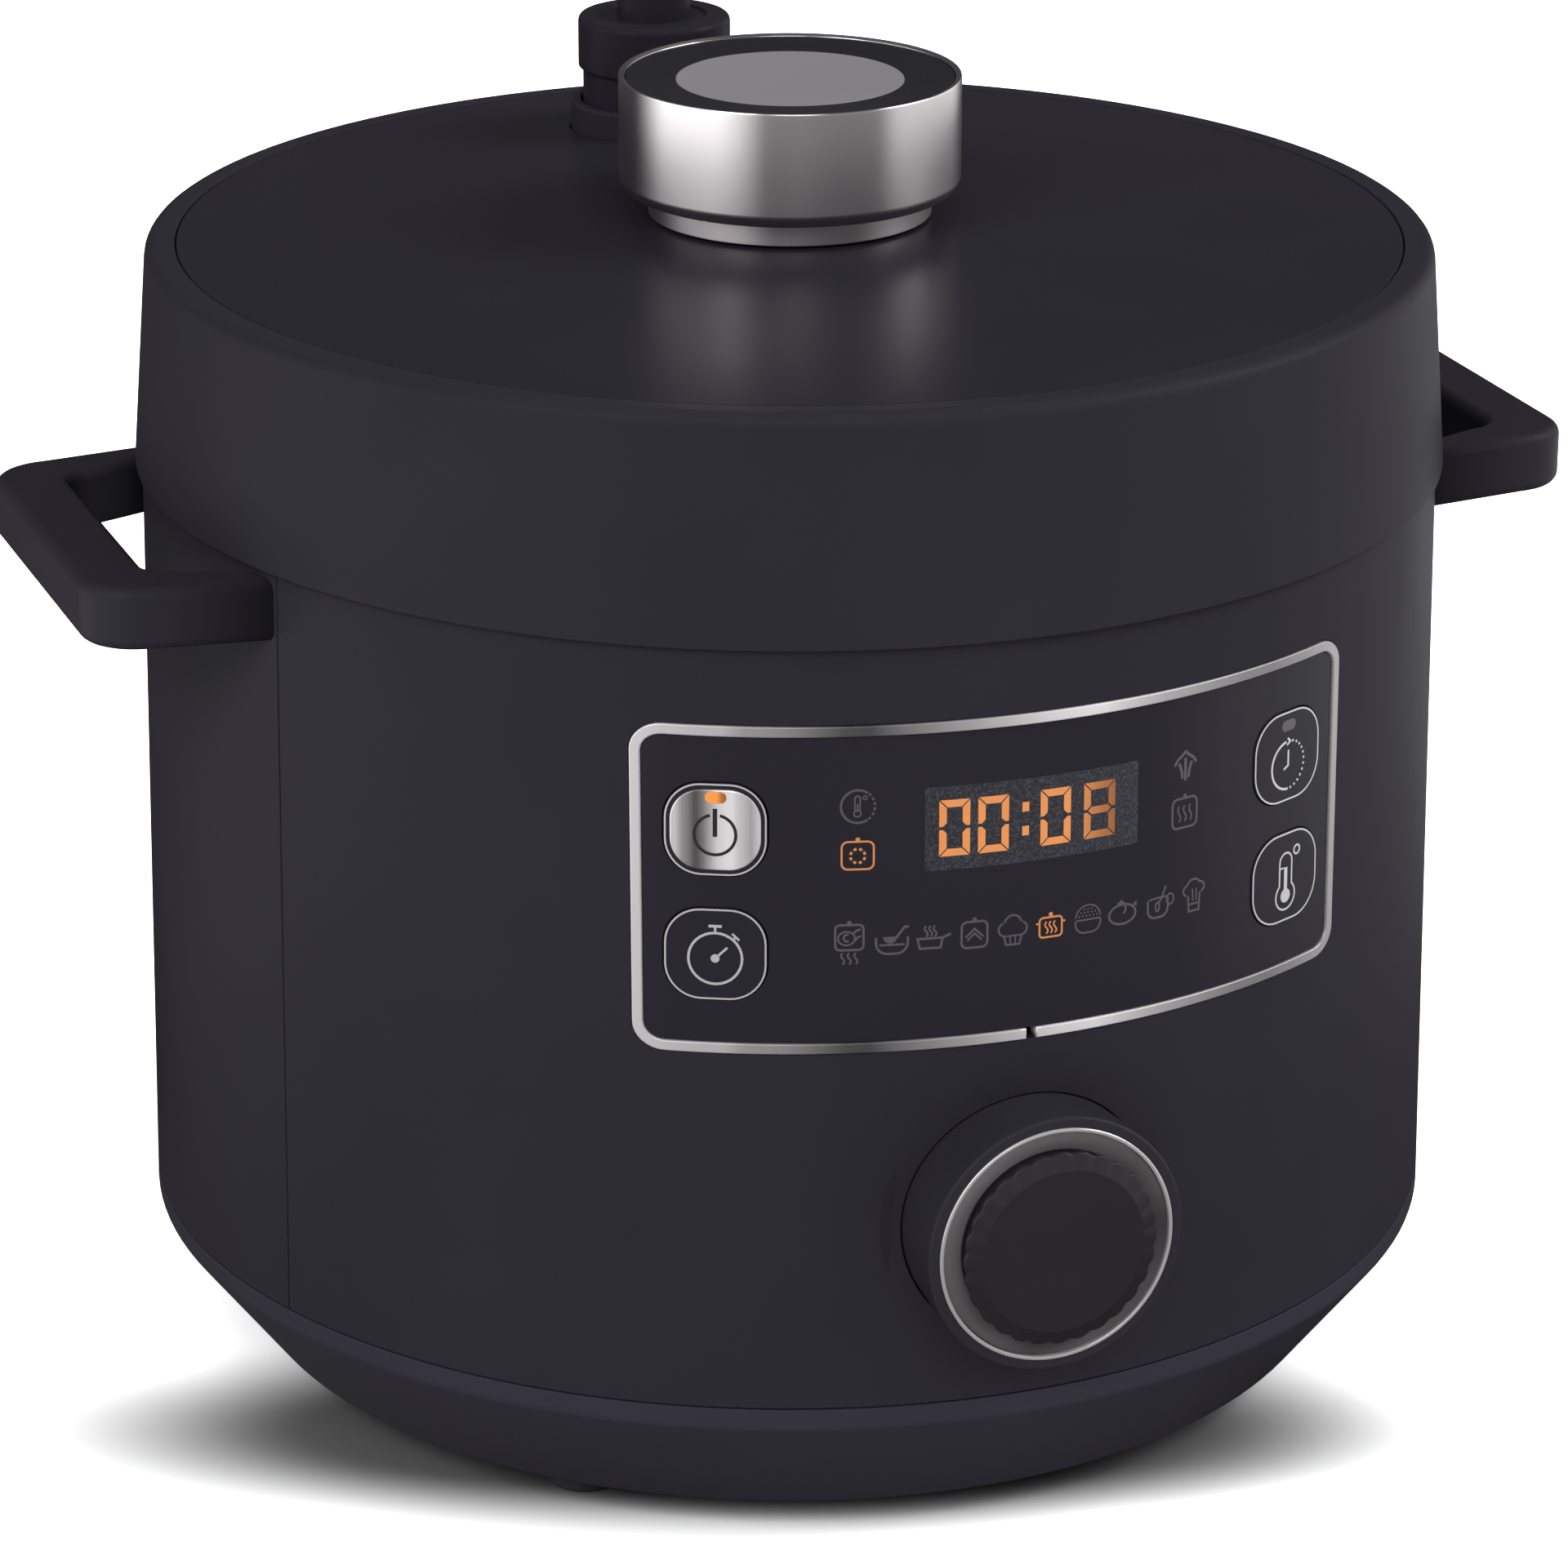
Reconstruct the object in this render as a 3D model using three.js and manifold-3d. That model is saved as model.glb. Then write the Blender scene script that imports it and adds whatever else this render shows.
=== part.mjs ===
// Electric pressure cooker, in millimetres. +Z is up, the floor is z = 0, the pot's axis is the Z axis
// and the control panel faces -Y. The lid is closed with its bayonet lock released.
import * as THREE from "three";
import { mergeVertices } from "three/addons/utils/BufferGeometryUtils.js";
import Module from "manifold-3d";

const wasm = await Module();
wasm.setup();

// ---------------------------------------------------------------- driving dimensions

const GAP = 0.3; // clearance between touching pieces
const WALL = 3; // outer plastic wall
const SHEET = 1.2; // pressed metal
const DEG = Math.PI / 180;

// sides of a turned piece, by its size
const ROUND = 40;
const MEDIUM = 24;
const SMALL = 12;
const TINY = 6;

// cutters that reach past everything: from below the floor to above the knob, and past the handles
const ALL_Z = [-10, 320];
const REACH = 260;

// base
const BASE_Z = 8.5;
const BASE_FLOOR_Z = 13.2;
const BASE_LEDGE_R = 118;
const CHAMFER_FOOT = [127.6, 9.3];
const BEND_Z = 36.7;
const BEND_R = 148.6;
const SKIN_Z = 41.7; // bottom edge of the fascia and the rear shell
const COVER_T = 2;
const COVER_SCREW = { r: 115.5, boss: 4.5, bossAt: 118.5, hole: 1.9, head: 3.4, shank: 1.5 };
const VENT = { count: 16, r: [50, 92], halfWidth: 1.4 };
const DIAGONALS = [45, 135, 225, 315];
const FOOT = { at: 108.8, r: 8, face: 7, plug: 4 };

// body
const SEAM_Z = 213; // joint between the body and the lid
const TOP_R = 146.4;
const SEAM_ANGLE = 68.4; // half width of the fascia, seen from above
const SEAT_Z = 206.7; // ledge inside the body that carries the housing ring
const SEAT_R = [134, 143.4];
const HANDLE = { x: 175.4, z: [197.3, 211.3], root: 128, y: 54, corner: 13, bar: 15.8, hole: 7 };
const HANDLE_SCREW = { y: 48.5, z: 202.5, hole: 1.9, head: 3.4, shank: 1.5 };

// pot and heating
const POT_R = 112;
const POT_WALL = 2;
const POT_Z = 60;
const POT_RIM_Z = 208.4;
const POT_LIP_R = 118;
const POT_CORNER = 14;
const SHIELD = { r: 125.2, z: 50, top: 195.9, cupR: 17, cupZ: 31, drainR: 3 };
const PLATE = { r: 95, bore: 13, neck: 60 };
const SENSOR = { r: 11, z: 47 };
const SPRING = { turns: 4, r: 8, wire: 0.9, top: 46.2 };
const RING = { r: 131, t: 2.5, z: 196.3, top: 221, shelfR: 115.5, flangeR: 143, lugR: 120.8, lugHalf: 14 };

// electrics
const BOARD = { x: 44, y: [52, 100], z: 22, t: 1.6 };
const BOARD_POSTS = [[36, 60], [-36, 60], [36, 92], [-36, 92]];
const TRANSFORMER = { x: [-38, -10], y: [60, 84], top: 42 };
const RELAY = { x: [8, 26], y: [62, 78], top: 38 };
const CAPACITOR = { x: 34, y: 84, r: 6, top: 43 };
const INLET = {
  z: 66,
  width: 27,
  height: 19.5,
  face: 151.2,
  back: 126,
  cavity: [23.6, 16.2],
  cavityY: 134,
  pinY: 149,
  pins: [[-7, -1.5], [7, -1.5], [0, 2.5]],
};

// control panel
const PANEL_ANGLE = 33.3; // half width of the panel frame
const PANEL_Z = [123.8, 196.5];
const PANEL_CORNER = 6;
const FRAME_W = 2.4;
const NOTCH = { halfWidth: 1.15, depth: 1.2 };
const KEY_ANGLE = 26.3;
const KEY_ROWS = { upper: 173.7, lower: 146 };
const KEY_SIZE = [22, 20.5];
const KEY_CORNER = 8;
const KEY_BACK = 137.2;
const KEYS = [
  { name: "power_key", angle: -KEY_ANGLE, z: KEY_ROWS.upper, finish: "chrome" },
  { name: "timer_key", angle: -KEY_ANGLE, z: KEY_ROWS.lower, finish: "gloss" },
  { name: "delay_key", angle: KEY_ANGLE, z: KEY_ROWS.upper, finish: "gloss" },
  { name: "temperature_key", angle: KEY_ANGLE, z: KEY_ROWS.lower, finish: "gloss" },
];

// dial
const DIAL_Z = 82.8;
const DIAL_R = 29;
const DIAL_BASE_R = 27.8; // the dial is a little narrower where it meets the fascia
const DIAL_BACK = 144;
const FRONT_Y = 167.4; // front of the dial, and back of the condensate collector
const POCKET_Y = 142.2; // floor of the dial's pocket
const GRIP_R = 20.4; // foot of the grip
const GRIP_RIM_R = 22; // its fluted rim
const SCALLOPS = 28;
const ENCODER = { half: 7, y: [131.5, 139], bore: 3.4 };

// condensate collector
const COLLECTOR = {
  halfWidth: 26,
  z: [150, 196],
  near: 149.6,
  wall: 1.8,
  corner: 5,
  pegX: 14,
  pegZ: 180,
  pegR: 3,
};

// lid
const LID_R = 148;
const RIM_R = 144.2;
const RIM_Z = 262.4;
const LEDGE_Z = [257.2, 260];
const LEDGE_R = 130;
const PANEL_R = 137.3;
const PANEL_EDGE_Z = 262.6;
const DOME = 4.1;
const SUPPORT = { z: 222, t: 2.5, r: 139, postR: 134 };
const PRESSURE = { z: [206, 209], r: 107, pillarR: 60, pillars: [65, 115, 245, 295] };
const INNER_LID = { z: 202.5, r: 100, edge: 104.3 };
const STUD = { r: 3, z: 197.5, hole: 3.3 };

// lock and knob
const BRIDGE = { z: 213.5, t: 3.2, r: [108, 119], lugR: 126.9, lugHalf: 13, arm: 10, hub: 14, bore: 6.3 };
const LUGS = 6;
const SPINDLE = { r: 6, hole: 8.4, flange: 19, flangeT: 3 };
const KNOB_R = 38.3;
const KNOB_Z = 272.5;
const KNOB_TOP = 298.7;
const KNOB_FLOOR_T = 2.6;
const PLINTH_R = 31.8;
const BEZEL_R = 36.7;
const DISC_R = 25.4;

// steam valve and float
const VALVE = [0, 92.4];
const COLLAR = { r: 19.8, z: 258, floor: 262, top: 271.5 };
const CAP = { r: 18, z: [279.2, 291.6], neck: 16.9, skirtZ: 263, button: 8.7, top: 297.8 };
const WEIGHT = { r: 8.7, z: [268.3, 284] };
const PIPE = { r: 6, bore: 1.8, z: 199, top: 268 };
const FILTER = { r: 10.5, z: 190, top: 201.8, slots: 6 };
const FLOAT = [25, 88];
const PIN = { r: 2.5, stopR: 4.4, stopZ: 196.5, headR: 3.6, headZ: 260, hole: 4.2 };

// ---------------------------------------------------------------- solids

// A geometry as a manifold-3d solid, with its faces pointing out.
function solid(geometry) {
  const bare = new THREE.BufferGeometry();
  const flat = geometry.index ? geometry.toNonIndexed() : geometry;
  bare.setAttribute("position", flat.getAttribute("position").clone());
  const merged = mergeVertices(bare, 1e-4);
  const index = merged.index.array;
  const kept = [];
  for (let i = 0; i < index.length; i += 3) {
    const [a, b, c] = [index[i], index[i + 1], index[i + 2]];
    if (a !== b && b !== c && a !== c) kept.push(a, b, c);
  }
  const build = (list) =>
    new wasm.Manifold(
      new wasm.Mesh({
        numProp: 3,
        vertProperties: merged.attributes.position.array,
        triVerts: new Uint32Array(list),
      }),
    );
  const made = build(kept);
  return made.volume() > 0 ? made : build(kept.reverse());
}

function geometryOf(body) {
  const mesh = body.getMesh();
  const geometry = new THREE.BufferGeometry();
  geometry.setAttribute("position", new THREE.BufferAttribute(mesh.vertProperties, 3));
  geometry.setIndex(new THREE.BufferAttribute(mesh.triVerts, 1));
  geometry.computeVertexNormals();
  return geometry;
}

// A solid turned about Z. The profile is a list of [radius, z] that starts and ends on the axis, or a
// ring that closes on itself.
function lathe(profile, sides = ROUND) {
  const points = profile.map(([r, z]) => new THREE.Vector2(r, z));
  if (profile[0][0] > 0) points.push(points[0].clone());
  return solid(new THREE.LatheGeometry(points, sides).rotateX(Math.PI / 2));
}

// A disc, or a ring when it has an inner radius, between two heights.
function ringPlate(inner, outer, [z0, z1], sides = ROUND) {
  return lathe([[inner, z0], [outer, z0], [outer, z1], [inner, z1]], sides);
}

// Points of an arc, for a profile or an outline.
function arc(cx, cy, radius, from, to, steps) {
  return Array.from({ length: steps + 1 }, (_, i) => {
    const angle = (from + ((to - from) * i) / steps) * DEG;
    return [cx + radius * Math.cos(angle), cy + radius * Math.sin(angle)];
  });
}

function circle(cx, cy, radius, sides) {
  return arc(cx, cy, radius, 0, 360, sides).slice(1);
}

function shapeOf(points) {
  return new THREE.Shape(points.map(([x, y]) => new THREE.Vector2(x, y)));
}

function roundedRect(width, height, corner, cx = 0, cy = 0, steps = 4) {
  const [x, y] = [width / 2 - corner, height / 2 - corner];
  return [
    ...arc(cx + x, cy + y, corner, 0, 90, steps),
    ...arc(cx - x, cy + y, corner, 90, 180, steps),
    ...arc(cx - x, cy - y, corner, 180, 270, steps),
    ...arc(cx + x, cy - y, corner, 270, 360, steps),
  ];
}

// An outline in XY raised from z0 to z1.
function prism(points, z0, z1) {
  const geometry = new THREE.ExtrudeGeometry(shapeOf(points), { depth: z1 - z0, bevelEnabled: false });
  return solid(geometry.translate(0, 0, z0));
}

// An outline in XZ that runs from y = -far to y = -near, turned about Z by an angle (positive brings
// the front towards +X).
function frontPrism(points, near, far, angle = 0) {
  const geometry = new THREE.ExtrudeGeometry(shapeOf(points), { depth: far - near, bevelEnabled: false });
  geometry.translate(0, 0, near).rotateX(Math.PI / 2).rotateZ(angle * DEG);
  return solid(geometry);
}

// The same at the back, from y = near to y = far.
function backPrism(points, near, far) {
  return frontPrism(points, near, far, 180);
}

function box([x0, x1], [y0, y1], [z0, z1]) {
  const geometry = new THREE.BoxGeometry(x1 - x0, y1 - y0, z1 - z0);
  return solid(geometry.translate((x0 + x1) / 2, (y0 + y1) / 2, (z0 + z1) / 2));
}

// An upright cylinder.
function rod(x, y, radius, z0, z1, sides = SMALL) {
  return lathe([[0, z0], [radius, z0], [radius, z1], [0, z1]], sides).translate([x, y, 0]);
}

// An upright cutter through everything.
function bore(x, y, radius, sides = SMALL) {
  return rod(x, y, radius, ...ALL_Z, sides);
}

function joined(...bodies) {
  return bodies.reduce((sum, next) => sum.add(next));
}

// A sector around the front direction, from the axis outwards.
function wedge(halfAngle) {
  const rim = arc(0, 0, REACH, -90 - halfAngle, -90 + halfAngle, 8);
  return prism([[0, 0], ...rim], ...ALL_Z);
}

// Copies of a body turned about Z.
function spun(body, angles) {
  return joined(...angles.map((angle) => body.rotate([0, 0, angle])));
}

function everyDegrees(count, first = 0) {
  return Array.from({ length: count }, (_, i) => first + (i * 360) / count);
}

// ---------------------------------------------------------------- the group

const cooker = new THREE.Group();
cooker.name = "electric_pressure_cooker";

const FINISH = {
  charcoal: { color: 0x2b2a30, roughness: 0.42, metalness: 0 },
  gloss: { color: 0x17161b, roughness: 0.12, metalness: 0 },
  steel: { color: 0xb9b6b6, roughness: 0.3, metalness: 1 },
  chrome: { color: 0xdadada, roughness: 0.12, metalness: 1 },
  aluminium: { color: 0xa9abad, roughness: 0.5, metalness: 1 },
  coating: { color: 0x242426, roughness: 0.55, metalness: 0.2 },
  grey: { color: 0x828085, roughness: 0.5, metalness: 0 },
  rubber: { color: 0x1d1d1e, roughness: 0.85, metalness: 0 },
  silicone: { color: 0xc9c7c2, roughness: 0.6, metalness: 0 },
  board: { color: 0x1f5a37, roughness: 0.5, metalness: 0 },
  smoke: { color: 0x3a3a3f, roughness: 0.2, metalness: 0 },
};
const materials = Object.fromEntries(
  Object.entries(FINISH).map(([name, values]) => [name, new THREE.MeshStandardMaterial(values)]),
);

function add(name, finish, body) {
  const mesh = new THREE.Mesh(geometryOf(body), materials[finish]);
  mesh.name = name;
  cooker.add(mesh);
}

// ---------------------------------------------------------------- base, bottom cover and feet

// Radius of the tapered side at a height.
const bodyRadius = (z) => BEND_R + ((z - BEND_Z) * (TOP_R - BEND_R)) / (SEAM_Z - BEND_Z);

function baseProfile() {
  const topZ = SKIN_Z - GAP;
  const foot = [[BASE_LEDGE_R, BASE_Z], [CHAMFER_FOOT[0] - 1.4, BASE_Z], CHAMFER_FOOT];
  const bend = [[BEND_R - 1, BEND_Z - 1.3], [BEND_R, BEND_Z + 1], [bodyRadius(topZ), topZ]];
  const inside = [
    [bodyRadius(topZ) - WALL, topZ],
    [BEND_R - WALL, BEND_Z + 1],
    [CHAMFER_FOOT[0] - 1.1, BASE_FLOOR_Z],
  ];
  return [...foot, ...bend, ...inside, [BASE_LEDGE_R, BASE_FLOOR_Z]];
}

function buildBase() {
  const { r, boss, bossAt, hole, head, shank } = COVER_SCREW;
  const screwAngles = everyDegrees(4);
  const holes = spun(rod(r, 0, hole, 0, 20, TINY), screwAngles);
  const coverTop = BASE_Z + COVER_T;
  const bosses = spun(rod(bossAt, 0, boss, coverTop + GAP, 22, TINY), screwAngles);
  add("base_shell", "charcoal", lathe(baseProfile()).add(bosses).subtract(holes));

  const vents = spun(
    box(VENT.r, [-VENT.halfWidth, VENT.halfWidth], [0, coverTop + 5]),
    everyDegrees(VENT.count, 180 / VENT.count),
  );
  const feet = spun(bore(FOOT.at, 0, FOOT.plug + GAP), DIAGONALS);
  const cover = ringPlate(0, BASE_LEDGE_R - GAP, [BASE_Z, coverTop]).subtract(vents).subtract(feet);
  const posts = BOARD_POSTS.map(([x, y]) => rod(x, y, 3, coverTop - 1, BOARD.z - GAP, TINY));
  add("bottom_cover", "charcoal", joined(cover.subtract(holes), ...posts));

  const screw = rod(r, 0, head, BASE_Z - 1.8, BASE_Z - GAP).add(rod(r, 0, shank, BASE_Z - 1, 18, TINY));
  screwAngles.forEach((angle, i) => add(`cover_screw_${i + 1}`, "steel", screw.rotate([0, 0, angle])));
}

function buildFeet() {
  const { at, r, face, plug } = FOOT;
  const [top, plugTop] = [BASE_Z - GAP, BASE_Z + 4];
  const profile = [[0, 0], [face, 0], [r, 1], [r, top], [plug, top], [plug, plugTop], [0, plugTop]];
  const foot = lathe(profile, SMALL).translate([at, 0, 0]);
  const names = ["foot_rear_right", "foot_rear_left", "foot_front_left", "foot_front_right"];
  DIAGONALS.forEach((angle, i) => add(names[i], "rubber", foot.rotate([0, 0, angle])));
}

// ---------------------------------------------------------------- outer shells

// A turned solid that follows the body's tapered side, larger by an offset.
function taper(offset, z0 = 100, z1 = 208) {
  return lathe([[0, z0], [bodyRadius(z0) + offset, z0], [bodyRadius(z1) + offset, z1], [0, z1]]);
}

function skin() {
  const topZ = SEAM_Z - GAP;
  const seatTop = SEAT_Z + WALL - GAP;
  const [seatR, innerR] = SEAT_R;
  return lathe([
    [bodyRadius(SKIN_Z) - WALL, SKIN_Z],
    [bodyRadius(SKIN_Z), SKIN_Z],
    [bodyRadius(topZ), topZ],
    [innerR, topZ],
    [innerR, seatTop],
    [seatR, seatTop],
    [seatR, SEAT_Z],
    [innerR, SEAT_Z],
  ]);
}

// Half width of the panel at the front, for an outline cut straight back.
const panelHalf = bodyRadius((PANEL_Z[0] + PANEL_Z[1]) / 2) * Math.sin(PANEL_ANGLE * DEG);

function panelOutline(inset) {
  const [low, high] = PANEL_Z;
  const size = [2 * (panelHalf - inset), high - low - 2 * inset];
  return roundedRect(...size, PANEL_CORNER - Math.min(inset, 3), 0, (low + high) / 2);
}

function buildFascia() {
  const onDial = (radius, near, far, sides = MEDIUM) =>
    frontPrism(circle(0, DIAL_Z, radius, sides), near, far);
  const boss = onDial(DIAL_R + 4, POCKET_Y - WALL, 160).intersect(taper(0, 44, 130));
  const fascia = skin()
    .intersect(wedge(SEAM_ANGLE))
    .add(boss)
    .subtract(onDial(DIAL_BASE_R + 0.6, POCKET_Y, 170))
    .subtract(onDial(7, 130, 170, SMALL))
    .subtract(frontPrism(panelOutline(-GAP), 80, 180));
  add("front_fascia", "charcoal", fascia);
}

function buildRear() {
  const padY = [140, 149.2];
  const inletPad = box([-19, 19], padY, [INLET.z - 15, INLET.z + 15]);
  const collectorPad = box([-20, 20], padY, [COLLECTOR.pegZ - 8, COLLECTOR.pegZ + 8]);
  const socket = roundedRect(INLET.width + 2 * GAP, INLET.height + 2 * GAP, 3, 0, INLET.z);
  const rear = skin()
    .subtract(wedge(SEAM_ANGLE + 0.12))
    .add(inletPad)
    .add(collectorPad)
    .subtract(backPrism(socket, 130, 160))
    .subtract(collectorPegs(COLLECTOR.pegR + GAP, 130, 160))
    .subtract(handleBores(HANDLE_SCREW.hole + 0.4));
  add("rear_shell", "charcoal", rear);
}

// The two round pegs behind the collector, or the holes for them.
function collectorPegs(radius, near, far) {
  const { pegX, pegZ } = COLLECTOR;
  return joined(...[-pegX, pegX].map((x) => backPrism(circle(x, pegZ, radius, SMALL), near, far)));
}

// A rod along X at a handle's root.
function crossRod(y, radius, x0, x1) {
  return rod(0, 0, radius, x0, x1, TINY).rotate([0, 90, 0]).translate([0, y, HANDLE_SCREW.z]);
}

function handleBores(radius) {
  const pair = joined(...[-1, 1].map((side) => crossRod(side * HANDLE_SCREW.y, radius, 120, 154)));
  return pair.add(pair.rotate([0, 0, 180]));
}

// ---------------------------------------------------------------- handles

function handleLoop() {
  const { x, z, root, y, corner, bar, hole } = HANDLE;
  const outerY = y - 4.5;
  const outer = [
    [root, -y],
    ...arc(x - corner, corner - outerY, corner, -90, 0, 6),
    ...arc(x - corner, outerY - corner, corner, 0, 90, 6),
    [root, y],
  ];
  const innerX = x - bar - hole;
  const inner = [
    [root, 6.5 - y],
    ...arc(innerX, 16 + hole - y, hole, -90, 0, 4),
    ...arc(innerX, y - 16 - hole, hole, 0, 90, 4),
    [root, y - 6.5],
  ];
  return prism(outer, ...z).subtract(prism(inner, ...ALL_Z));
}

function buildHandles() {
  const { y, z, hole, head, shank } = HANDLE_SCREW;
  const right = handleLoop().subtract(taper(GAP + 0.1, 190, 215)).subtract(handleBores(hole));
  add("handle_right", "charcoal", right);
  add("handle_left", "charcoal", right.rotate([0, 0, 180]));
  const inside = Math.sqrt((bodyRadius(z) - WALL) ** 2 - (y + 4) ** 2) - 1;
  const screw = (at) => crossRod(at, head, inside - 2.4, inside).add(crossRod(at, shank, inside - 1, 150));
  const screws = [screw(-y), screw(y), screw(y).rotate([0, 0, 180]), screw(-y).rotate([0, 0, 180])];
  screws.forEach((body, i) => add(`handle_screw_${i + 1}`, "steel", body));
}

// ---------------------------------------------------------------- housing ring, shield, heater and pot

function buildHousingRing() {
  const { r, t, z, top, shelfR, flangeR, lugR, lugHalf } = RING;
  const inner = r - t;
  const shelfZ = POT_RIM_Z - GAP;
  const flangeZ = [SEAM_Z - 3, SEAM_Z - 0.6];
  const profile = [
    [inner, z],
    [r, z],
    [r, flangeZ[0]],
    [flangeR, flangeZ[0]],
    [flangeR, flangeZ[1]],
    [r, flangeZ[1]],
    [r, top],
    [inner, top],
    [inner, shelfZ],
    [shelfR, shelfZ],
    [shelfR, shelfZ - t],
    [inner, shelfZ - t],
  ];
  const lug = ringPlate(lugR, inner + 0.5, [top - t, top]).intersect(wedge(lugHalf));
  add("housing_ring", "steel", lathe(profile).add(spun(lug, everyDegrees(LUGS))));
}

function buildShield() {
  const { r, z, top, cupR, cupZ, drainR } = SHIELD;
  const rimR = RING.r - 0.5;
  add("heat_shield", "aluminium", lathe([
    [drainR, cupZ],
    [cupR, cupZ],
    [cupR, z],
    [r, z],
    [r, top - SHEET],
    [rimR, top - SHEET],
    [rimR, top],
    [r - SHEET, top],
    [r - SHEET, z + SHEET],
    [cupR - SHEET, z + SHEET],
    [cupR - SHEET, cupZ + SHEET],
    [drainR, cupZ + SHEET],
  ]));
}

function buildHeater() {
  const [bottom, top] = [SHIELD.z + SHEET + GAP, POT_Z - GAP];
  const { r, bore: hole, neck } = PLATE;
  add("heating_plate", "aluminium", lathe([
    [hole, bottom],
    [neck, bottom],
    [neck, bottom + 2],
    [r - 3, bottom + 2],
    [r, bottom + 4],
    [r, top - 2],
    [r - 2, top],
    [hole, top],
  ], MEDIUM));
  add("temperature_sensor", "steel", lathe([
    [0, SENSOR.z],
    [SENSOR.r - 2, SENSOR.z],
    [SENSOR.r, SENSOR.z + 2],
    [SENSOR.r, top - 1],
    [SENSOR.r - 1, top],
    [0, top],
  ], SMALL));
}

function buildSpring() {
  const { turns, r, wire, top } = SPRING;
  const low = SHIELD.cupZ + 2 * SHEET + wire;
  const rise = top - wire - low;
  class Helix extends THREE.Curve {
    getPoint(t, target = new THREE.Vector3()) {
      const angle = t * turns * 2 * Math.PI;
      return target.set(r * Math.cos(angle), r * Math.sin(angle), low + t * rise);
    }
  }
  const section = shapeOf(circle(0, 0, wire, 5));
  const geometry = new THREE.ExtrudeGeometry(section, { steps: turns * 10, extrudePath: new Helix() });
  add("sensor_spring", "steel", solid(geometry));
}

function buildPot() {
  const inner = POT_R - POT_WALL;
  const innerCorner = POT_CORNER - POT_WALL;
  const floor = POT_Z + POT_WALL + 0.2;
  const rimTop = POT_RIM_Z + POT_WALL;
  add("inner_pot", "coating", lathe([
    [0, POT_Z],
    ...arc(POT_R - POT_CORNER, POT_Z + POT_CORNER, POT_CORNER, -90, 0, 3),
    [POT_R, POT_RIM_Z],
    [POT_LIP_R - 0.6, POT_RIM_Z],
    [POT_LIP_R, POT_RIM_Z + 1],
    [POT_LIP_R - 0.6, rimTop],
    [inner + 1, rimTop],
    [inner, POT_RIM_Z + 0.5],
    ...arc(inner - innerCorner, floor + innerCorner, innerCorner, 0, -90, 3),
    [0, floor],
  ]));
}

// ---------------------------------------------------------------- electrics

function buildPowerBoard() {
  const top = BOARD.z + BOARD.t;
  const onBoard = (part) => box(part.x, part.y, [top - 0.1, part.top]);
  add("power_board", "board", joined(
    box([-BOARD.x, BOARD.x], BOARD.y, [BOARD.z, top]),
    onBoard(TRANSFORMER),
    onBoard(RELAY),
    rod(CAPACITOR.x, CAPACITOR.y, CAPACITOR.r, top - 0.1, CAPACITOR.top),
  ));
}

function buildInlet() {
  const { z, width, height, face, back, cavity, cavityY, pinY, pins } = INLET;
  const flange = backPrism(roundedRect(width + 6, height + 6.5, 4, 0, z), 149.5, face);
  const barrel = backPrism(roundedRect(width, height, 3, 0, z), back, face);
  const socket = backPrism(roundedRect(...cavity, 4, 0, z), cavityY, 160);
  const blades = pins.map(([x, dz]) => box([x - 1, x + 1], [cavityY - 1, pinY], [z + dz - 2, z + dz + 2]));
  add("power_inlet", "gloss", joined(flange.add(barrel).subtract(socket), ...blades));
}

// ---------------------------------------------------------------- control panel

function keyPrism(key, grow, near) {
  const [width, height] = KEY_SIZE;
  const outline = roundedRect(width + 2 * grow, height + 2 * grow, KEY_CORNER + grow, 0, key.z);
  return frontPrism(outline, near, 160, key.angle);
}

function buildPanelFrame() {
  const { halfWidth, depth } = NOTCH;
  const low = PANEL_Z[0];
  const notch = box([-halfWidth, halfWidth], [-160, depth - bodyRadius(low)], [low - 4, low + 3]);
  const frame = frontPrism(panelOutline(0), 80, 180)
    .subtract(frontPrism(panelOutline(FRAME_W), 70, 190))
    .intersect(taper(0.4).subtract(taper(-3.2)))
    .subtract(notch);
  add("panel_frame", "steel", frame);
}

function buildPanelFace() {
  const holes = joined(...KEYS.map((key) => keyPrism(key, 0.35, 100)));
  const face = frontPrism(panelOutline(FRAME_W + GAP), 80, 180)
    .intersect(taper(-0.1).subtract(taper(-2.8)))
    .subtract(holes);
  add("panel_face", "gloss", face);
  for (const key of KEYS) add(key.name, key.finish, keyPrism(key, 0, KEY_BACK).intersect(taper(0.2)));
}

function buildPanelBoards() {
  const digits = box([-27, 27], [-141, -133.5], [161, 186]);
  add("display_module", "gloss", digits.add(box([-30, 30], [-134, -132.4], [129, 191])));
  const boardY = 132;
  const keyBoard = joined(
    box([-15, 15], [-boardY, 1.6 - boardY], [130, 190]),
    ...Object.values(KEY_ROWS).map((z) => frontPrism(circle(0, z, 3, TINY), boardY - 0.5, KEY_BACK - 1.2)),
  );
  add("key_board_left", "board", keyBoard.rotate([0, 0, -KEY_ANGLE]));
  add("key_board_right", "board", keyBoard.rotate([0, 0, KEY_ANGLE]));
}

// ---------------------------------------------------------------- dial

// A solid turned about the dial's axis. The profile is [radius, distance outwards from the drum's back].
function dialLathe(profile, sides = MEDIUM) {
  return lathe(profile, sides).rotate([90, 0, 0]).translate([0, -DIAL_BACK, DIAL_Z]);
}

// A circle with shallow flutes.
function gripOutline() {
  const steps = SCALLOPS * 2;
  return Array.from({ length: steps }, (_, i) => {
    const angle = (i * 2 * Math.PI) / steps;
    const radius = GRIP_RIM_R - 0.5 * Math.abs(Math.sin((angle * SCALLOPS) / 2));
    return [radius * Math.cos(angle), DIAL_Z + radius * Math.sin(angle)];
  });
}

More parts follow.
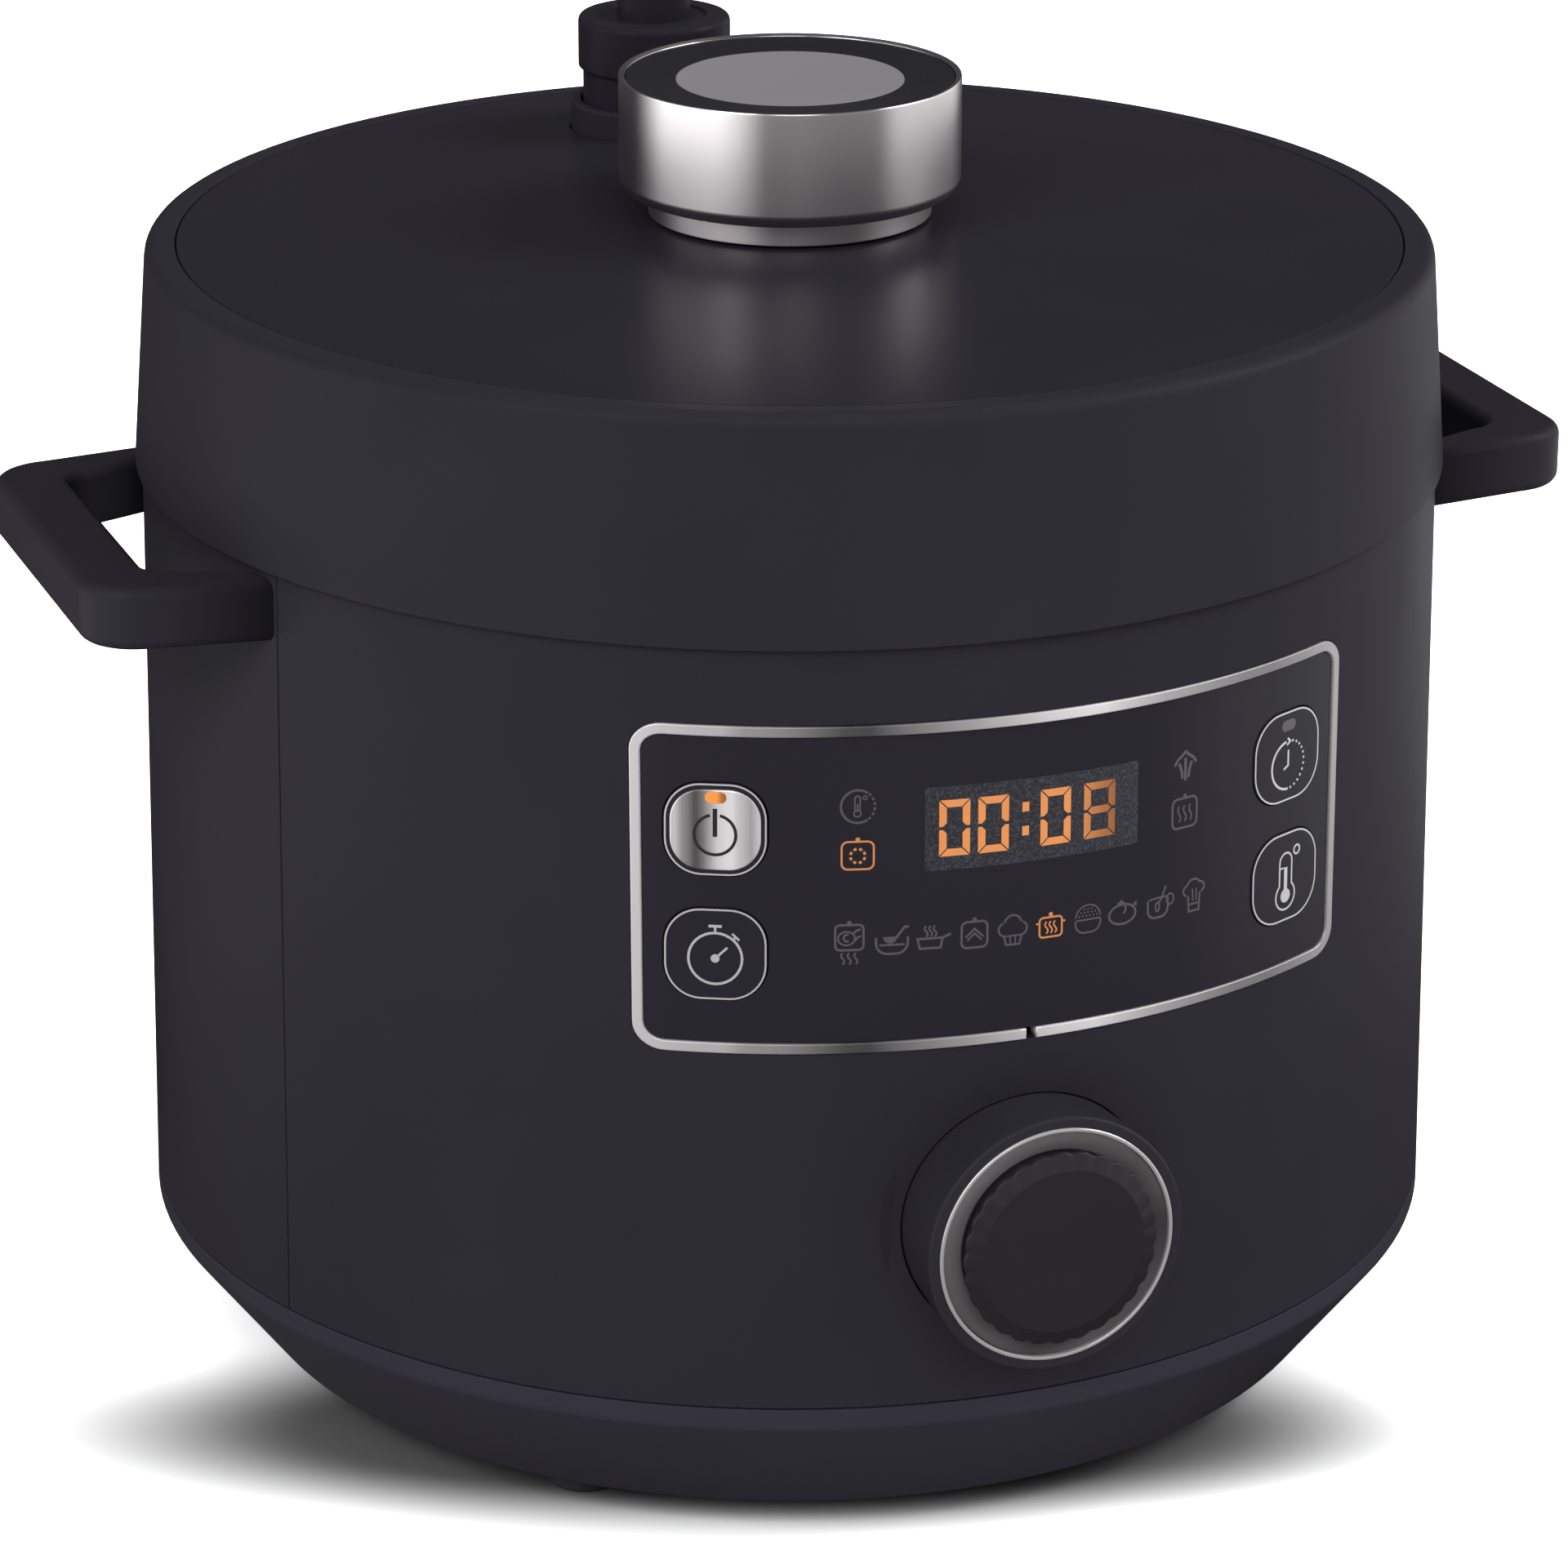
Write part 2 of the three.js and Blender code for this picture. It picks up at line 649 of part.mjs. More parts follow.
function buildDial() {
  const face = 17;
  const [ringR, ringT] = [26.6, 1];
  add("dial_knob", "charcoal", dialLathe([
    [0, -8.6],
    [3, -8.6],
    [3, 0],
    [7, 0],
    [7, face - 2.4],
    [DIAL_R - 2.6, face - 2.4],
    [DIAL_R - 2.6, 0],
    [DIAL_BASE_R, 0],
    [DIAL_R, face + 1],
    [DIAL_R - 0.5, face + 2.1],
    [DIAL_R - 1.6, face + 2.6],
    [ringR + GAP, face + 2.6],
    [ringR + GAP, face + 1.2],
    [ringR - ringT - GAP, face + 1.2],
    [ringR - ringT - GAP, face + 2.4],
    [GRIP_R + 0.5, face + 1],
    [GRIP_R + 0.5, face],
    [0, face],
  ]));
  add("dial_trim_ring", "chrome", dialLathe([
    [ringR - ringT, face + 1.5],
    [ringR, face + 1.5],
    [ringR, face + 2.9],
    [ringR - ringT, face + 2.9],
  ]));
  const front = FRONT_Y - DIAL_BACK;
  const grip = dialLathe([
    [0, face + GAP],
    [GRIP_R, face + GAP],
    [GRIP_R, face + 1.6],
    [GRIP_RIM_R, face + 4],
    [GRIP_RIM_R, front - 1.4],
    [18.4, front],
    [0, front],
  ]);
  add("dial_grip", "gloss", grip.intersect(frontPrism(gripOutline(), DIAL_BACK, FRONT_Y + 1)));
  add("dial_plunger", "silicone", dialLathe([[3.3, -3.4], [6.6, -3.4], [6.6, -GAP], [3.3, -GAP]], SMALL));
}

function buildEncoder() {
  const { half, y, bore: hole } = ENCODER;
  const housing = box([-half, half], [-y[1], -y[0]], [DIAL_Z - half, DIAL_Z + half]);
  const shaftHole = dialLathe([[0, -12], [hole, -12], [hole, 0], [0, 0]]);
  add("encoder_body", "steel", housing.subtract(shaftHole));
}

// ---------------------------------------------------------------- condensate collector

function buildCollector() {
  const { halfWidth, z, near, wall, corner, pegR } = COLLECTOR;
  const depth = FRONT_Y - near;
  const middle = (FRONT_Y + near) / 2;
  const outer = roundedRect(2 * halfWidth, depth, corner, 0, middle);
  const inner = roundedRect(2 * (halfWidth - wall), depth - 2 * wall, corner - wall, 0, middle);
  const cup = prism(outer, ...z).subtract(prism(inner, z[0] + wall, ALL_Z[1]));
  add("condensate_collector", "smoke", cup.add(collectorPegs(pegR, SEAT_R[1], near + 1)));
}

// ---------------------------------------------------------------- lid

// Height of the lid's domed top at a radius.
const domeZ = (r) => PANEL_EDGE_Z + DOME * (1 - (r / PANEL_R) ** 2);

function buildLidShell() {
  const skirtZ = SEAM_Z + GAP;
  const panelEdge = PANEL_R + GAP;
  add("lid_shell", "charcoal", lathe([
    [LID_R - WALL, skirtZ],
    [LID_R - 0.4, skirtZ],
    [LID_R, skirtZ + 0.6],
    [RIM_R + GAP, RIM_Z - 4],
    ...arc(RIM_R - 3, RIM_Z - 3, 3, 15, 90, 3),
    [panelEdge, PANEL_EDGE_Z],
    [panelEdge, LEDGE_Z[1]],
    [LEDGE_R, LEDGE_Z[1]],
    [LEDGE_R, LEDGE_Z[0]],
    [141, LEDGE_Z[0]],
  ]));
}

function buildTopPanel() {
  const rings = Array.from({ length: 5 }, (_, i) => (PANEL_R * i) / 4);
  const top = rings.map((r) => [r, domeZ(r)]);
  const edgeZ = LEDGE_Z[1] + GAP;
  const under = [[0, 264], [80, 262.6], [LEDGE_R - 1, edgeZ], [PANEL_R, edgeZ]];
  add("lid_top_panel", "charcoal", lathe([...under, ...top.reverse()])
    .subtract(bore(0, 0, SPINDLE.hole))
    .subtract(bore(...VALVE, COLLAR.r + GAP, MEDIUM))
    .subtract(bore(...FLOAT, PIN.hole)));
}

// Holes for the steam pipe and the float pin.
function pipeHoles(body) {
  return body.subtract(bore(...VALVE, PIPE.r + GAP)).subtract(bore(...FLOAT, PIN.r + GAP));
}

function buildLidSupport() {
  const top = SUPPORT.z + SUPPORT.t;
  const post = rod(SUPPORT.postR, 0, 4, top - 1, LEDGE_Z[0] - GAP, TINY);
  const plate = ringPlate(0, SUPPORT.r, [SUPPORT.z, top])
    .add(spun(post, DIAGONALS))
    .subtract(bore(0, 0, SPINDLE.hole));
  add("lid_support", "coating", pipeHoles(plate));

  const [low, high] = PRESSURE.z;
  const pillar = rod(PRESSURE.pillarR, 0, 5, high - 1, SUPPORT.z - GAP, TINY);
  const pressure = ringPlate(0, PRESSURE.r, PRESSURE.z)
    .add(spun(pillar, PRESSURE.pillars))
    .add(rod(0, 0, STUD.r, STUD.z, low + 1, TINY));
  add("pressure_plate", "aluminium", pipeHoles(pressure));
}

function buildInnerLid() {
  const { z, r, edge } = INNER_LID;
  const disc = lathe([
    [0, z],
    [r, z],
    [r + 2.5, z + 0.8],
    [edge, z + 2.8],
    [edge - 1.3, z + 3.2],
    [r - 1, z + SHEET],
    [0, z + SHEET],
  ]);
  add("inner_lid", "aluminium", pipeHoles(disc).subtract(bore(0, 0, STUD.hole, TINY)));

  const [gasketR, lipR] = [104.7, 109.7];
  add("sealing_gasket", "silicone", lathe([
    [gasketR, z + 0.6],
    [gasketR + 2.7, z - 1.2],
    [lipR - 0.5, z - 3],
    [lipR, z - 2.6],
    [lipR, z + 2.6],
    [lipR - 0.9, z + 3.2],
    [gasketR, z + 3.2],
  ]));

  const nut = { r: 9, z: 194 };
  const studEnd = STUD.z - 0.7;
  add("inner_lid_nut", "silicone", lathe([
    [0, nut.z],
    [nut.r - 2, nut.z],
    [nut.r, nut.z + 2],
    [nut.r, z - GAP],
    [STUD.hole, z - GAP],
    [STUD.hole, studEnd],
    [0, studEnd],
  ], SMALL));
}

// ---------------------------------------------------------------- lock and knob

function buildLock() {
  const { z, t, r, lugR, lugHalf, arm, hub, bore: hole } = BRIDGE;
  const heights = [z, z + t];
  const lug = ringPlate(r[1] - 1, lugR, heights).intersect(wedge(lugHalf));
  const bridge = joined(
    ringPlate(...r, heights),
    spun(lug, everyDegrees(LUGS, 30)),
    box([-r[0] - 2, r[0] + 2], [-arm, arm], heights),
    rod(0, 0, hub, z, SUPPORT.z - 0.6),
  );
  add("locking_bridge", "steel", bridge.subtract(bore(0, 0, hole)));

  const flangeZ = KNOB_Z + KNOB_FLOOR_T + GAP;
  add("knob_spindle", "steel", lathe([
    [0, z],
    [SPINDLE.r, z],
    [SPINDLE.r, flangeZ],
    [SPINDLE.flange, flangeZ],
    [SPINDLE.flange, flangeZ + SPINDLE.flangeT],
    [0, flangeZ + SPINDLE.flangeT],
  ], SMALL));
}

function buildKnob() {
  const plinthZ = domeZ(0) + GAP;
  add("knob_plinth", "steel", lathe([
    [9, plinthZ],
    [PLINTH_R - 0.6, plinthZ],
    [PLINTH_R, plinthZ + 0.5],
    [PLINTH_R, KNOB_Z - 0.6],
    [PLINTH_R - 0.6, KNOB_Z - GAP],
    [9, KNOB_Z - GAP],
  ], MEDIUM));

  const floorTop = KNOB_Z + KNOB_FLOOR_T;
  add("knob_ring", "steel", lathe([
    [22, KNOB_Z],
    [KNOB_R - 2, KNOB_Z],
    [KNOB_R - 0.5, KNOB_Z + 1],
    [KNOB_R, KNOB_Z + 2.4],
    [KNOB_R, KNOB_TOP - 1.2],
    [KNOB_R - 0.5, KNOB_TOP - 0.3],
    [KNOB_R - 1.4, KNOB_TOP],
    [BEZEL_R, KNOB_TOP - 0.4],
    [BEZEL_R, floorTop],
    [22, floorTop],
  ], MEDIUM));

  const outer = BEZEL_R - 0.4;
  const recess = DISC_R + GAP;
  add("knob_bezel", "gloss", lathe([
    [0, KNOB_TOP - 6],
    [outer - WALL, KNOB_TOP - 6],
    [outer - WALL, KNOB_Z + 3],
    [outer, KNOB_Z + 3],
    [outer, KNOB_TOP - 0.6],
    [recess, KNOB_TOP - 1.5],
    [recess, KNOB_TOP - 3],
    [0, KNOB_TOP - 3],
  ], MEDIUM));
  add("knob_disc", "grey", ringPlate(0, DISC_R, [KNOB_TOP - 2.7, KNOB_TOP - 1.7], MEDIUM));
}

// ---------------------------------------------------------------- steam valve and float

function valveLathe(profile, sides = MEDIUM) {
  return lathe(profile, sides).translate([...VALVE, 0]);
}

function buildCollar() {
  const { r, z, floor, top } = COLLAR;
  const well = CAP.neck + 0.5;
  add("valve_collar", "charcoal", valveLathe([
    [PIPE.r + GAP, z],
    [r, z],
    [r, top - 0.8],
    [r - 0.8, top],
    [well, top],
    [well, floor],
    [PIPE.r + GAP, floor],
  ]));
}

function buildPipe() {
  const { r, bore: hole, z, top } = PIPE;
  const flangeZ = SUPPORT.z + 3;
  add("steam_pipe", "steel", valveLathe([
    [hole, z],
    [r, z],
    [r, flangeZ],
    [r + 4, flangeZ],
    [r + 4, flangeZ + 4],
    [r, flangeZ + 4],
    [r, top - 2],
    [r - 2, top],
    [hole, top],
  ], SMALL));

  const { r: cageR, z: low, top: high, slots } = FILTER;
  const cage = valveLathe([
    [0, low],
    [cageR - 1.5, low],
    [cageR, low + 2],
    [cageR, high],
    [cageR - 1.5, high],
    [cageR - 1.5, low + 2.4],
    [0, low + 2.4],
  ], SMALL);
  const slot = box([-0.8, 0.8], [-14, 14], [low + 3, high - 2.3]);
  const star = spun(slot, Array.from({ length: slots }, (_, i) => (i * 180) / slots));
  add("steam_filter", "steel", cage.subtract(star.translate([...VALVE, 0])));
}

function buildCap() {
  const { r, z, neck, skirtZ, button, top } = CAP;
  const wellR = WEIGHT.r + GAP;
  const wellZ = WEIGHT.z[1] + GAP;
  add("valve_weight", "steel", valveLathe([
    [0, WEIGHT.z[0]],
    [WEIGHT.r, WEIGHT.z[0]],
    [WEIGHT.r, WEIGHT.z[1]],
    [0, WEIGHT.z[1]],
  ], SMALL));
  add("valve_cap", "charcoal", valveLathe([
    [0, wellZ],
    [wellR, wellZ],
    [wellR, skirtZ],
    [neck, skirtZ],
    [neck, z[0]],
    [r - 0.6, z[0]],
    [r, z[0] + 0.8],
    [r, z[1] - 1.2],
    [r - 1.2, z[1]],
    [button, z[1]],
    [button, top - 1],
    [button - 1, top],
    [0, top],
  ]));
}

function buildFloat() {
  const { r, stopR, stopZ, headR, headZ } = PIN;
  const top = domeZ(Math.hypot(...FLOAT)) - 0.2;
  const body = lathe([
    [0, stopZ],
    [stopR, stopZ],
    [stopR, stopZ + SHEET],
    [r, stopZ + SHEET],
    [r, headZ],
    [headR, headZ],
    [headR, top],
    [0, top],
  ], SMALL);
  add("float_pin", "aluminium", body.translate([...FLOAT, 0]));
}

buildBase();
buildFeet();
buildFascia();
buildRear();
buildHandles();
buildHousingRing();
buildShield();
buildHeater();
buildSpring();
buildPot();
buildPowerBoard();
buildInlet();
buildPanelFrame();
buildPanelFace();
buildPanelBoards();
buildDial();
buildEncoder();
buildCollector();
buildLidShell();
buildTopPanel();
buildLidSupport();
buildInnerLid();
buildLock();
buildKnob();
buildCollar();
buildPipe();
buildCap();
buildFloat();

export default cooker;
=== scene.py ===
import math

import bpy
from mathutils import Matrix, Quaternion, Vector
from mathutils.geometry import delaunay_2d_cdt


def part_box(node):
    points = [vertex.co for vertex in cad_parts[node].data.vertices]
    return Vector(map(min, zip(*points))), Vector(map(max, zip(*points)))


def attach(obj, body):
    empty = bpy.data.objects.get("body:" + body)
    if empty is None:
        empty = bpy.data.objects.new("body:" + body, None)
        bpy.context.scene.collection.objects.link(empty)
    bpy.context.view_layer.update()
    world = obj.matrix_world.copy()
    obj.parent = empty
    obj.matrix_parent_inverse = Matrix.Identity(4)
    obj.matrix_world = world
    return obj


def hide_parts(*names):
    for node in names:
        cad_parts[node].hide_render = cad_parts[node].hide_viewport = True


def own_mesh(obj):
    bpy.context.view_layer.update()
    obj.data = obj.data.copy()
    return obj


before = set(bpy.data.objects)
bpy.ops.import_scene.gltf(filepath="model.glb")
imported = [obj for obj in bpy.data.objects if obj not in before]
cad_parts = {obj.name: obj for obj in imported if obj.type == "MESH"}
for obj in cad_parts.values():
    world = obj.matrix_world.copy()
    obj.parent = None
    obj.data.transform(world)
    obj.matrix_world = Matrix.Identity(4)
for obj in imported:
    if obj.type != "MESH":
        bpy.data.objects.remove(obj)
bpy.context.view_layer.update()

# Lengths below are millimetres, and every mesh is scaled to metres as it is made. +Z is up, the pot's
# axis is the Z axis and the control panel faces -Y.
MM = 0.001
# Sides of a turned piece: a large, a middling and a small one.
ROUND = 160
MEDIUM = 96
SMALL = 48


# ---------------------------------------------------------------- sizes from the frame

def span(node):
    """Lowest and highest corners of a CAD node, in millimetres."""
    low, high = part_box(node)
    return low / MM, high / MM


def heights(node):
    low, high = span(node)
    return low.z, high.z


def radius(node):
    return span(node)[1].x


GAP = 0.3
WALL = 3.0
BASE_Z, BASE_TOP = heights("base_shell")
BEND_R = radius("base_shell")
BEND_Z = 36.7
SKIN_Z = heights("rear_shell")[0]
TOP_R = 146.4
LID_Z, RIM_Z = heights("lid_shell")
SKIN_TOP = LID_Z - 0.12
LID_R = radius("lid_shell")
RIM_R = 144.2
PANEL_R = radius("lid_top_panel")
DOME_TOP = heights("lid_top_panel")[1]
DOME = 4.1
SEAM_ANGLE = 68.4
HANDLE_X = span("handle_right")[1].x
HANDLE_Z = heights("handle_right")
KNOB_R = radius("knob_ring")
KNOB_Z, KNOB_TOP = heights("knob_ring")
VALVE_Y = 92.4
FLOAT = (25.0, 88.0)
PANEL_ANGLE = 33.3
PANEL_Z = heights("panel_frame")
PANEL_CORNER = 6.0
FRAME_W = 2.0
FRAME_MORE = 0.35  # the frame is this much broader above and below
NOTCH = 1.15
KEY_SIZE = (22.0, 20.5)
KEY_CORNER = 8.0
DIAL_BACK = 144.0
DIAL_Z = sum(heights("dial_knob")) / 2
DIAL_BASE_R = 27.8
FLUTES = 28
FLUTE_DEPTH = 0.55
GRIP_R = 20.4
RIM_GRIP_R = span("dial_grip")[1].x
DIAL_REACH = -span("dial_grip")[0].y  # front of the dial, and back of the collector
INLET_Z = 66
PEG_Z = 180
PEGS = (-14, 14)  # where the collector's two pegs are across
PAD = (143, 149.2)  # inner and outer face of the flat pads on the back
COLLECTOR_Y = 149.6  # the collector's wall next to the pad
FEET_R = 108.8
COVER_SCREW_R = 115.5
DISPLAY_Z = 172.95
SYMBOL_ROW = 148.7
SHARP = math.radians(38)  # edges sharper than this show as edges on turned pieces


def body_radius(z):
    """Radius of the tapered side at a height."""
    return BEND_R + (z - BEND_Z) * (TOP_R - BEND_R) / (LID_Z - GAP - BEND_Z)


def dome_z(r):
    return DOME_TOP - DOME * (r / PANEL_R) ** 2


# ---------------------------------------------------------------- outlines in a plane

def arc(cx, cy, r, start, end, steps=8):
    """Points of an arc, angles in degrees."""
    angles = [math.radians(start + (end - start) * i / steps) for i in range(steps + 1)]
    return [(cx + r * math.cos(a), cy + r * math.sin(a)) for a in angles]


def circle(cx, cy, r, sides=48):
    return arc(cx, cy, r, 0, 360, sides)[:-1]


def rounded_rect(width, height, corner, cx=0.0, cy=0.0, steps=8):
    x, y = width / 2 - corner, height / 2 - corner
    return (arc(cx + x, cy + y, corner, 0, 90, steps) + arc(cx - x, cy + y, corner, 90, 180, steps)
            + arc(cx - x, cy - y, corner, 180, 270, steps) + arc(cx + x, cy - y, corner, 270, 360, steps))


def area(loop):
    return sum(a[0] * b[1] - b[0] * a[1] for a, b in zip(loop, loop[1:] + loop[:1])) / 2


def sided(loop, left):
    """The loop with what it encloses on its left (True) or on its right."""
    return loop if (area(loop) > 0) == left else loop[::-1]


def divided(loop, longest):
    """The loop with no stretch longer than a length."""
    out = []
    for a, b in zip(loop, loop[1:] + loop[:1]):
        parts = max(1, math.ceil(math.dist(a, b) / longest))
        out += [(a[0] + (b[0] - a[0]) * i / parts, a[1] + (b[1] - a[1]) * i / parts) for i in range(parts)]
    return out


def mitre(before, here, after, least):
    """The vector to the left that moves both sides of a corner by one, held back at sharp corners."""
    ax, ay = here[0] - before[0], here[1] - before[1]
    bx, by = after[0] - here[0], after[1] - here[1]
    la, lb = math.hypot(ax, ay) or 1e-9, math.hypot(bx, by) or 1e-9
    scale = max(1 + (ax * bx + ay * by) / (la * lb), least)
    return (-ay / la - by / lb) / scale, (ax / la + bx / lb) / scale


def left_normals(loop):
    return [mitre(loop[i - 1], here, loop[(i + 1) % len(loop)], 0.2) for i, here in enumerate(loop)]


def moved(loop, distance):
    """The loop moved to its left."""
    return [(x + n[0] * distance, y + n[1] * distance) for (x, y), n in zip(loop, left_normals(loop))]


def shifted(loop, dx, dy):
    return [(x + dx, y + dy) for x, y in loop]


def inside(point, loop):
    x, y = point
    odd = False
    for (ax, ay), (bx, by) in zip(loop, loop[1:] + loop[:1]):
        if (ay > y) != (by > y) and x < (bx - ax) * (y - ay) / (by - ay) + ax:
            odd = not odd
    return odd


def grid_points(loops, step_u, step_v):
    """Points of a grid inside the first loop and outside the others, clear of every edge."""
    margin = 0.45 * min(step_u, step_v)
    outer = moved(loops[0], margin)
    holes = [moved(hole, margin) for hole in loops[1:]]
    us, vs = [p[0] for p in loops[0]], [p[1] for p in loops[0]]
    nu = max(1, round((max(us) - min(us)) / step_u))
    nv = max(1, round((max(vs) - min(vs)) / step_v))
    out = []
    for i in range(1, nu):
        u = min(us) + (max(us) - min(us)) * i / nu
        for j in range(1, nv):
            point = (u, min(vs) + (max(vs) - min(vs)) * j / nv)
            if inside(point, outer) and not any(inside(point, hole) for hole in holes):
                out.append(point)
    return out


def triangles(loops, points):
    """Indices of the triangles that fill the loops, with the points inside as corners too."""
    coords, edges = [], []
    for loop in loops:
        first = len(coords)
        coords += loop
        edges += [(first + i, first + (i + 1) % len(loop)) for i in range(len(loop))]
    coords += points
    result = delaunay_2d_cdt([Vector(c) for c in coords], edges, [], 1, 1e-6)
    back = [ids[0] for ids in result[3]]
    rim = len(coords) - len(points)
    kept = []
    for face in result[2]:
        face = tuple(back[i] for i in face)
        centre = [sum(coords[i][k] for i in face) / 3 for k in (0, 1)]
        if max(face) >= rim or not any(inside(centre, hole) for hole in loops[1:]):
            kept.append(face)
    return kept


# ---------------------------------------------------------------- places to bend a flat piece into

def on_skin(u, v, h):
    """u runs round the body from the front, v is the height, and h stands off the tapered side."""
    r = body_radius(v) + h
    a = u / BEND_R
    return (r * math.sin(a), -r * math.cos(a), v)


def on_plan(u, v, h):
    return (u, v, h)


def under_plan(u, v, h):
    """The same seen from below, with h downwards."""
    return (u, -v, -h)


def on_back(u, v, h):
    return (-u, h, v)


def on_dome(u, v, h):
    return (u, v, dome_z(math.hypot(u, v)) + h)


def skin_u(degrees):
    return math.radians(degrees) * BEND_R


def wrapped(loop, centre=0.0):
    """An outline seen from the front at an angle, as lengths along the skin."""
    out = []
    for x, z in loop:
        out.append((skin_u(centre) + BEND_R * math.asin(x / body_radius(z)), z))
    return out


# ---------------------------------------------------------------- solids

def sheet(loops, low, high, place=on_plan, edge=0.4, foot=0.0, grid=None, steps=4):
    """Vertices, faces and normals of a solid between two heights over a flat region, bent into place.

    The first loop is the outline and the others are holes. edge and foot round the upper and lower rims.
    """
    loops = [sided(loops[0], True)] + [sided(hole, False) for hole in loops[1:]]
    rows = []
    for k in range(steps + 1 if edge else 1):
        a = math.pi / 2 * k / steps
        rows.append((edge * (1 - math.sin(a)), high - edge * (1 - math.cos(a)), a if edge else math.pi / 2))
    for k in range(steps + 1 if foot else 1):
        a = math.pi / 2 + math.pi / 2 * k / steps
        rows.append((foot * (1 - math.sin(a)), low + foot * (1 + math.cos(a)), a if foot else math.pi / 2))
    top = [moved(loop, rows[0][0]) for loop in loops]
    points = grid_points(loops, *grid) if grid else []
    faces_2d = triangles(top, points)

    verts, normals, faces = [], [], []

    def vertex(u, v, h, out, tilt):
        here = Vector(place(u, v, h))
        step = 0.02
        du = Vector(place(u + step, v, h)) - here
        dv = Vector(place(u, v + step, h)) - here
        du, dv = du / step, dv / step
        up = du.cross(dv).normalized()
        side = (du * out[0] + dv * out[1])
        side = side.normalized() if side.length > 1e-9 else side
        verts.append(here)
        normals.append((up * math.cos(tilt) + side * math.sin(tilt)).normalized())

    starts = []
    for loop in loops:
        lefts = left_normals(loop)
        starts.append(len(verts))
        for offset, h, tilt in rows:
            for (x, y), (nx, ny) in zip(loop, lefts):
                vertex(x + nx * offset, y + ny * offset, h, (-nx, -ny), tilt)
    tops = len(verts)
    for x, y in points:
        vertex(x, y, high, (0, 0), 0)
    bottoms = len(verts)
    for x, y in points:
        vertex(x, y, low, (0, 0), math.pi)

    upper, lower = [], []
    for loop, start in zip(loops, starts):
        last = start + (len(rows) - 1) * len(loop)
        upper += range(start, start + len(loop))
        lower += range(last, last + len(loop))
    upper += range(tops, tops + len(points))
    lower += range(bottoms, bottoms + len(points))
    for face in faces_2d:
        faces.append(tuple(upper[i] for i in face))
        faces.append(tuple(lower[i] for i in reversed(face)))
    for loop, start in zip(loops, starts):
        n = len(loop)
        for r in range(len(rows) - 1):
            for i in range(n):
                a, b = start + r * n + i, start + r * n + (i + 1) % n
                faces.append((a, a + n, b + n, b))
    return verts, faces, normals


def softened(profile, closed):
    """A profile of (radius, height, fillet) points with its corners rounded."""
    out = []
    count = len(profile)
    for i, point in enumerate(profile):
        r, z = point[:2]
        fillet = point[2] if len(point) > 2 else 0
        ends = not closed and i in (0, count - 1)
        if ends or fillet <= 0:
            out.append((r, z))
            continue
        here = Vector((r, z))
        before = Vector(profile[i - 1][:2]) - here
        after = Vector(profile[(i + 1) % count][:2]) - here
        angle = before.angle(after)
        if angle > math.pi - 0.03:
            out.append((r, z))
            continue
        reach = min(fillet / math.tan(angle / 2), 0.49 * before.length, 0.49 * after.length)
        a, b = here + before.normalized() * reach, here + after.normalized() * reach
        steps = max(2, round(math.degrees(math.pi - angle) / 15))
        for k in range(steps + 1):
            t = k / steps
            out.append(tuple(a * (1 - t) ** 2 + here * 2 * t * (1 - t) + b * t ** 2))
    return out


def lathe(profile, sides=ROUND, centre=(0.0, 0.0), turn=None, flute=None):
    """Vertices and faces of a solid turned about Z. The profile starts and ends on the axis, or closes.

    flute(angle, height) is taken off the radius.
    """
    closed = profile[0][0] > 1e-6
    points = softened(profile, closed)
    verts, faces, rings = [], [], []
    for r, z in points:
        if r < 1e-6:
            rings.append([len(verts)])
            verts.append(Vector((0, 0, z)))
            continue
        rings.append(list(range(len(verts), len(verts) + sides)))
        for i in range(sides):
            a = 2 * math.pi * i / sides
            reach = r - flute(a, z) if flute else r
            verts.append(Vector((reach * math.cos(a), reach * math.sin(a), z)))
    pairs = list(zip(rings, rings[1:] + rings[:1])) if closed else list(zip(rings, rings[1:]))
    for a, b in pairs:
        for i in range(sides):
            j = (i + 1) % sides
            quad = [a[i % len(a)], a[j % len(a)], b[j % len(b)], b[i % len(b)]]
            corners = list(dict.fromkeys(quad))
            if len(corners) > 2:
                faces.append(tuple(corners))
    ring = points + points[:1] if closed else points
    signed = sum((b[1] - a[1]) * (a[0] + b[0]) for a, b in zip(ring, ring[1:]))
    if signed < 0:
        faces = [face[::-1] for face in faces]
    if turn:
        verts = [turn(v) for v in verts]
    return [v + Vector((*centre, 0)) for v in verts], faces, None


def dial_turn(v):
    """Turns a lathe onto the dial's axis: its height becomes the distance in front of the drum's back."""
    return Vector((v.x, -DIAL_BACK - v.z, DIAL_Z + v.y))


def polar(r, degrees):
    return r * math.cos(math.radians(degrees)), r * math.sin(math.radians(degrees))


def turns(count, first=0.0):
    """Evenly spaced angles round a circle, in degrees."""
    return [first + 360.0 * i / count for i in range(count)]


def turned_about_z(parts, degrees):
    c, s = math.cos(math.radians(degrees)), math.sin(math.radians(degrees))
    spin = lambda v: Vector((v.x * c - v.y * s, v.x * s + v.y * c, v.z))
    verts, faces, normals = parts
    return [spin(v) for v in verts], faces, normals and [spin(n) for n in normals]


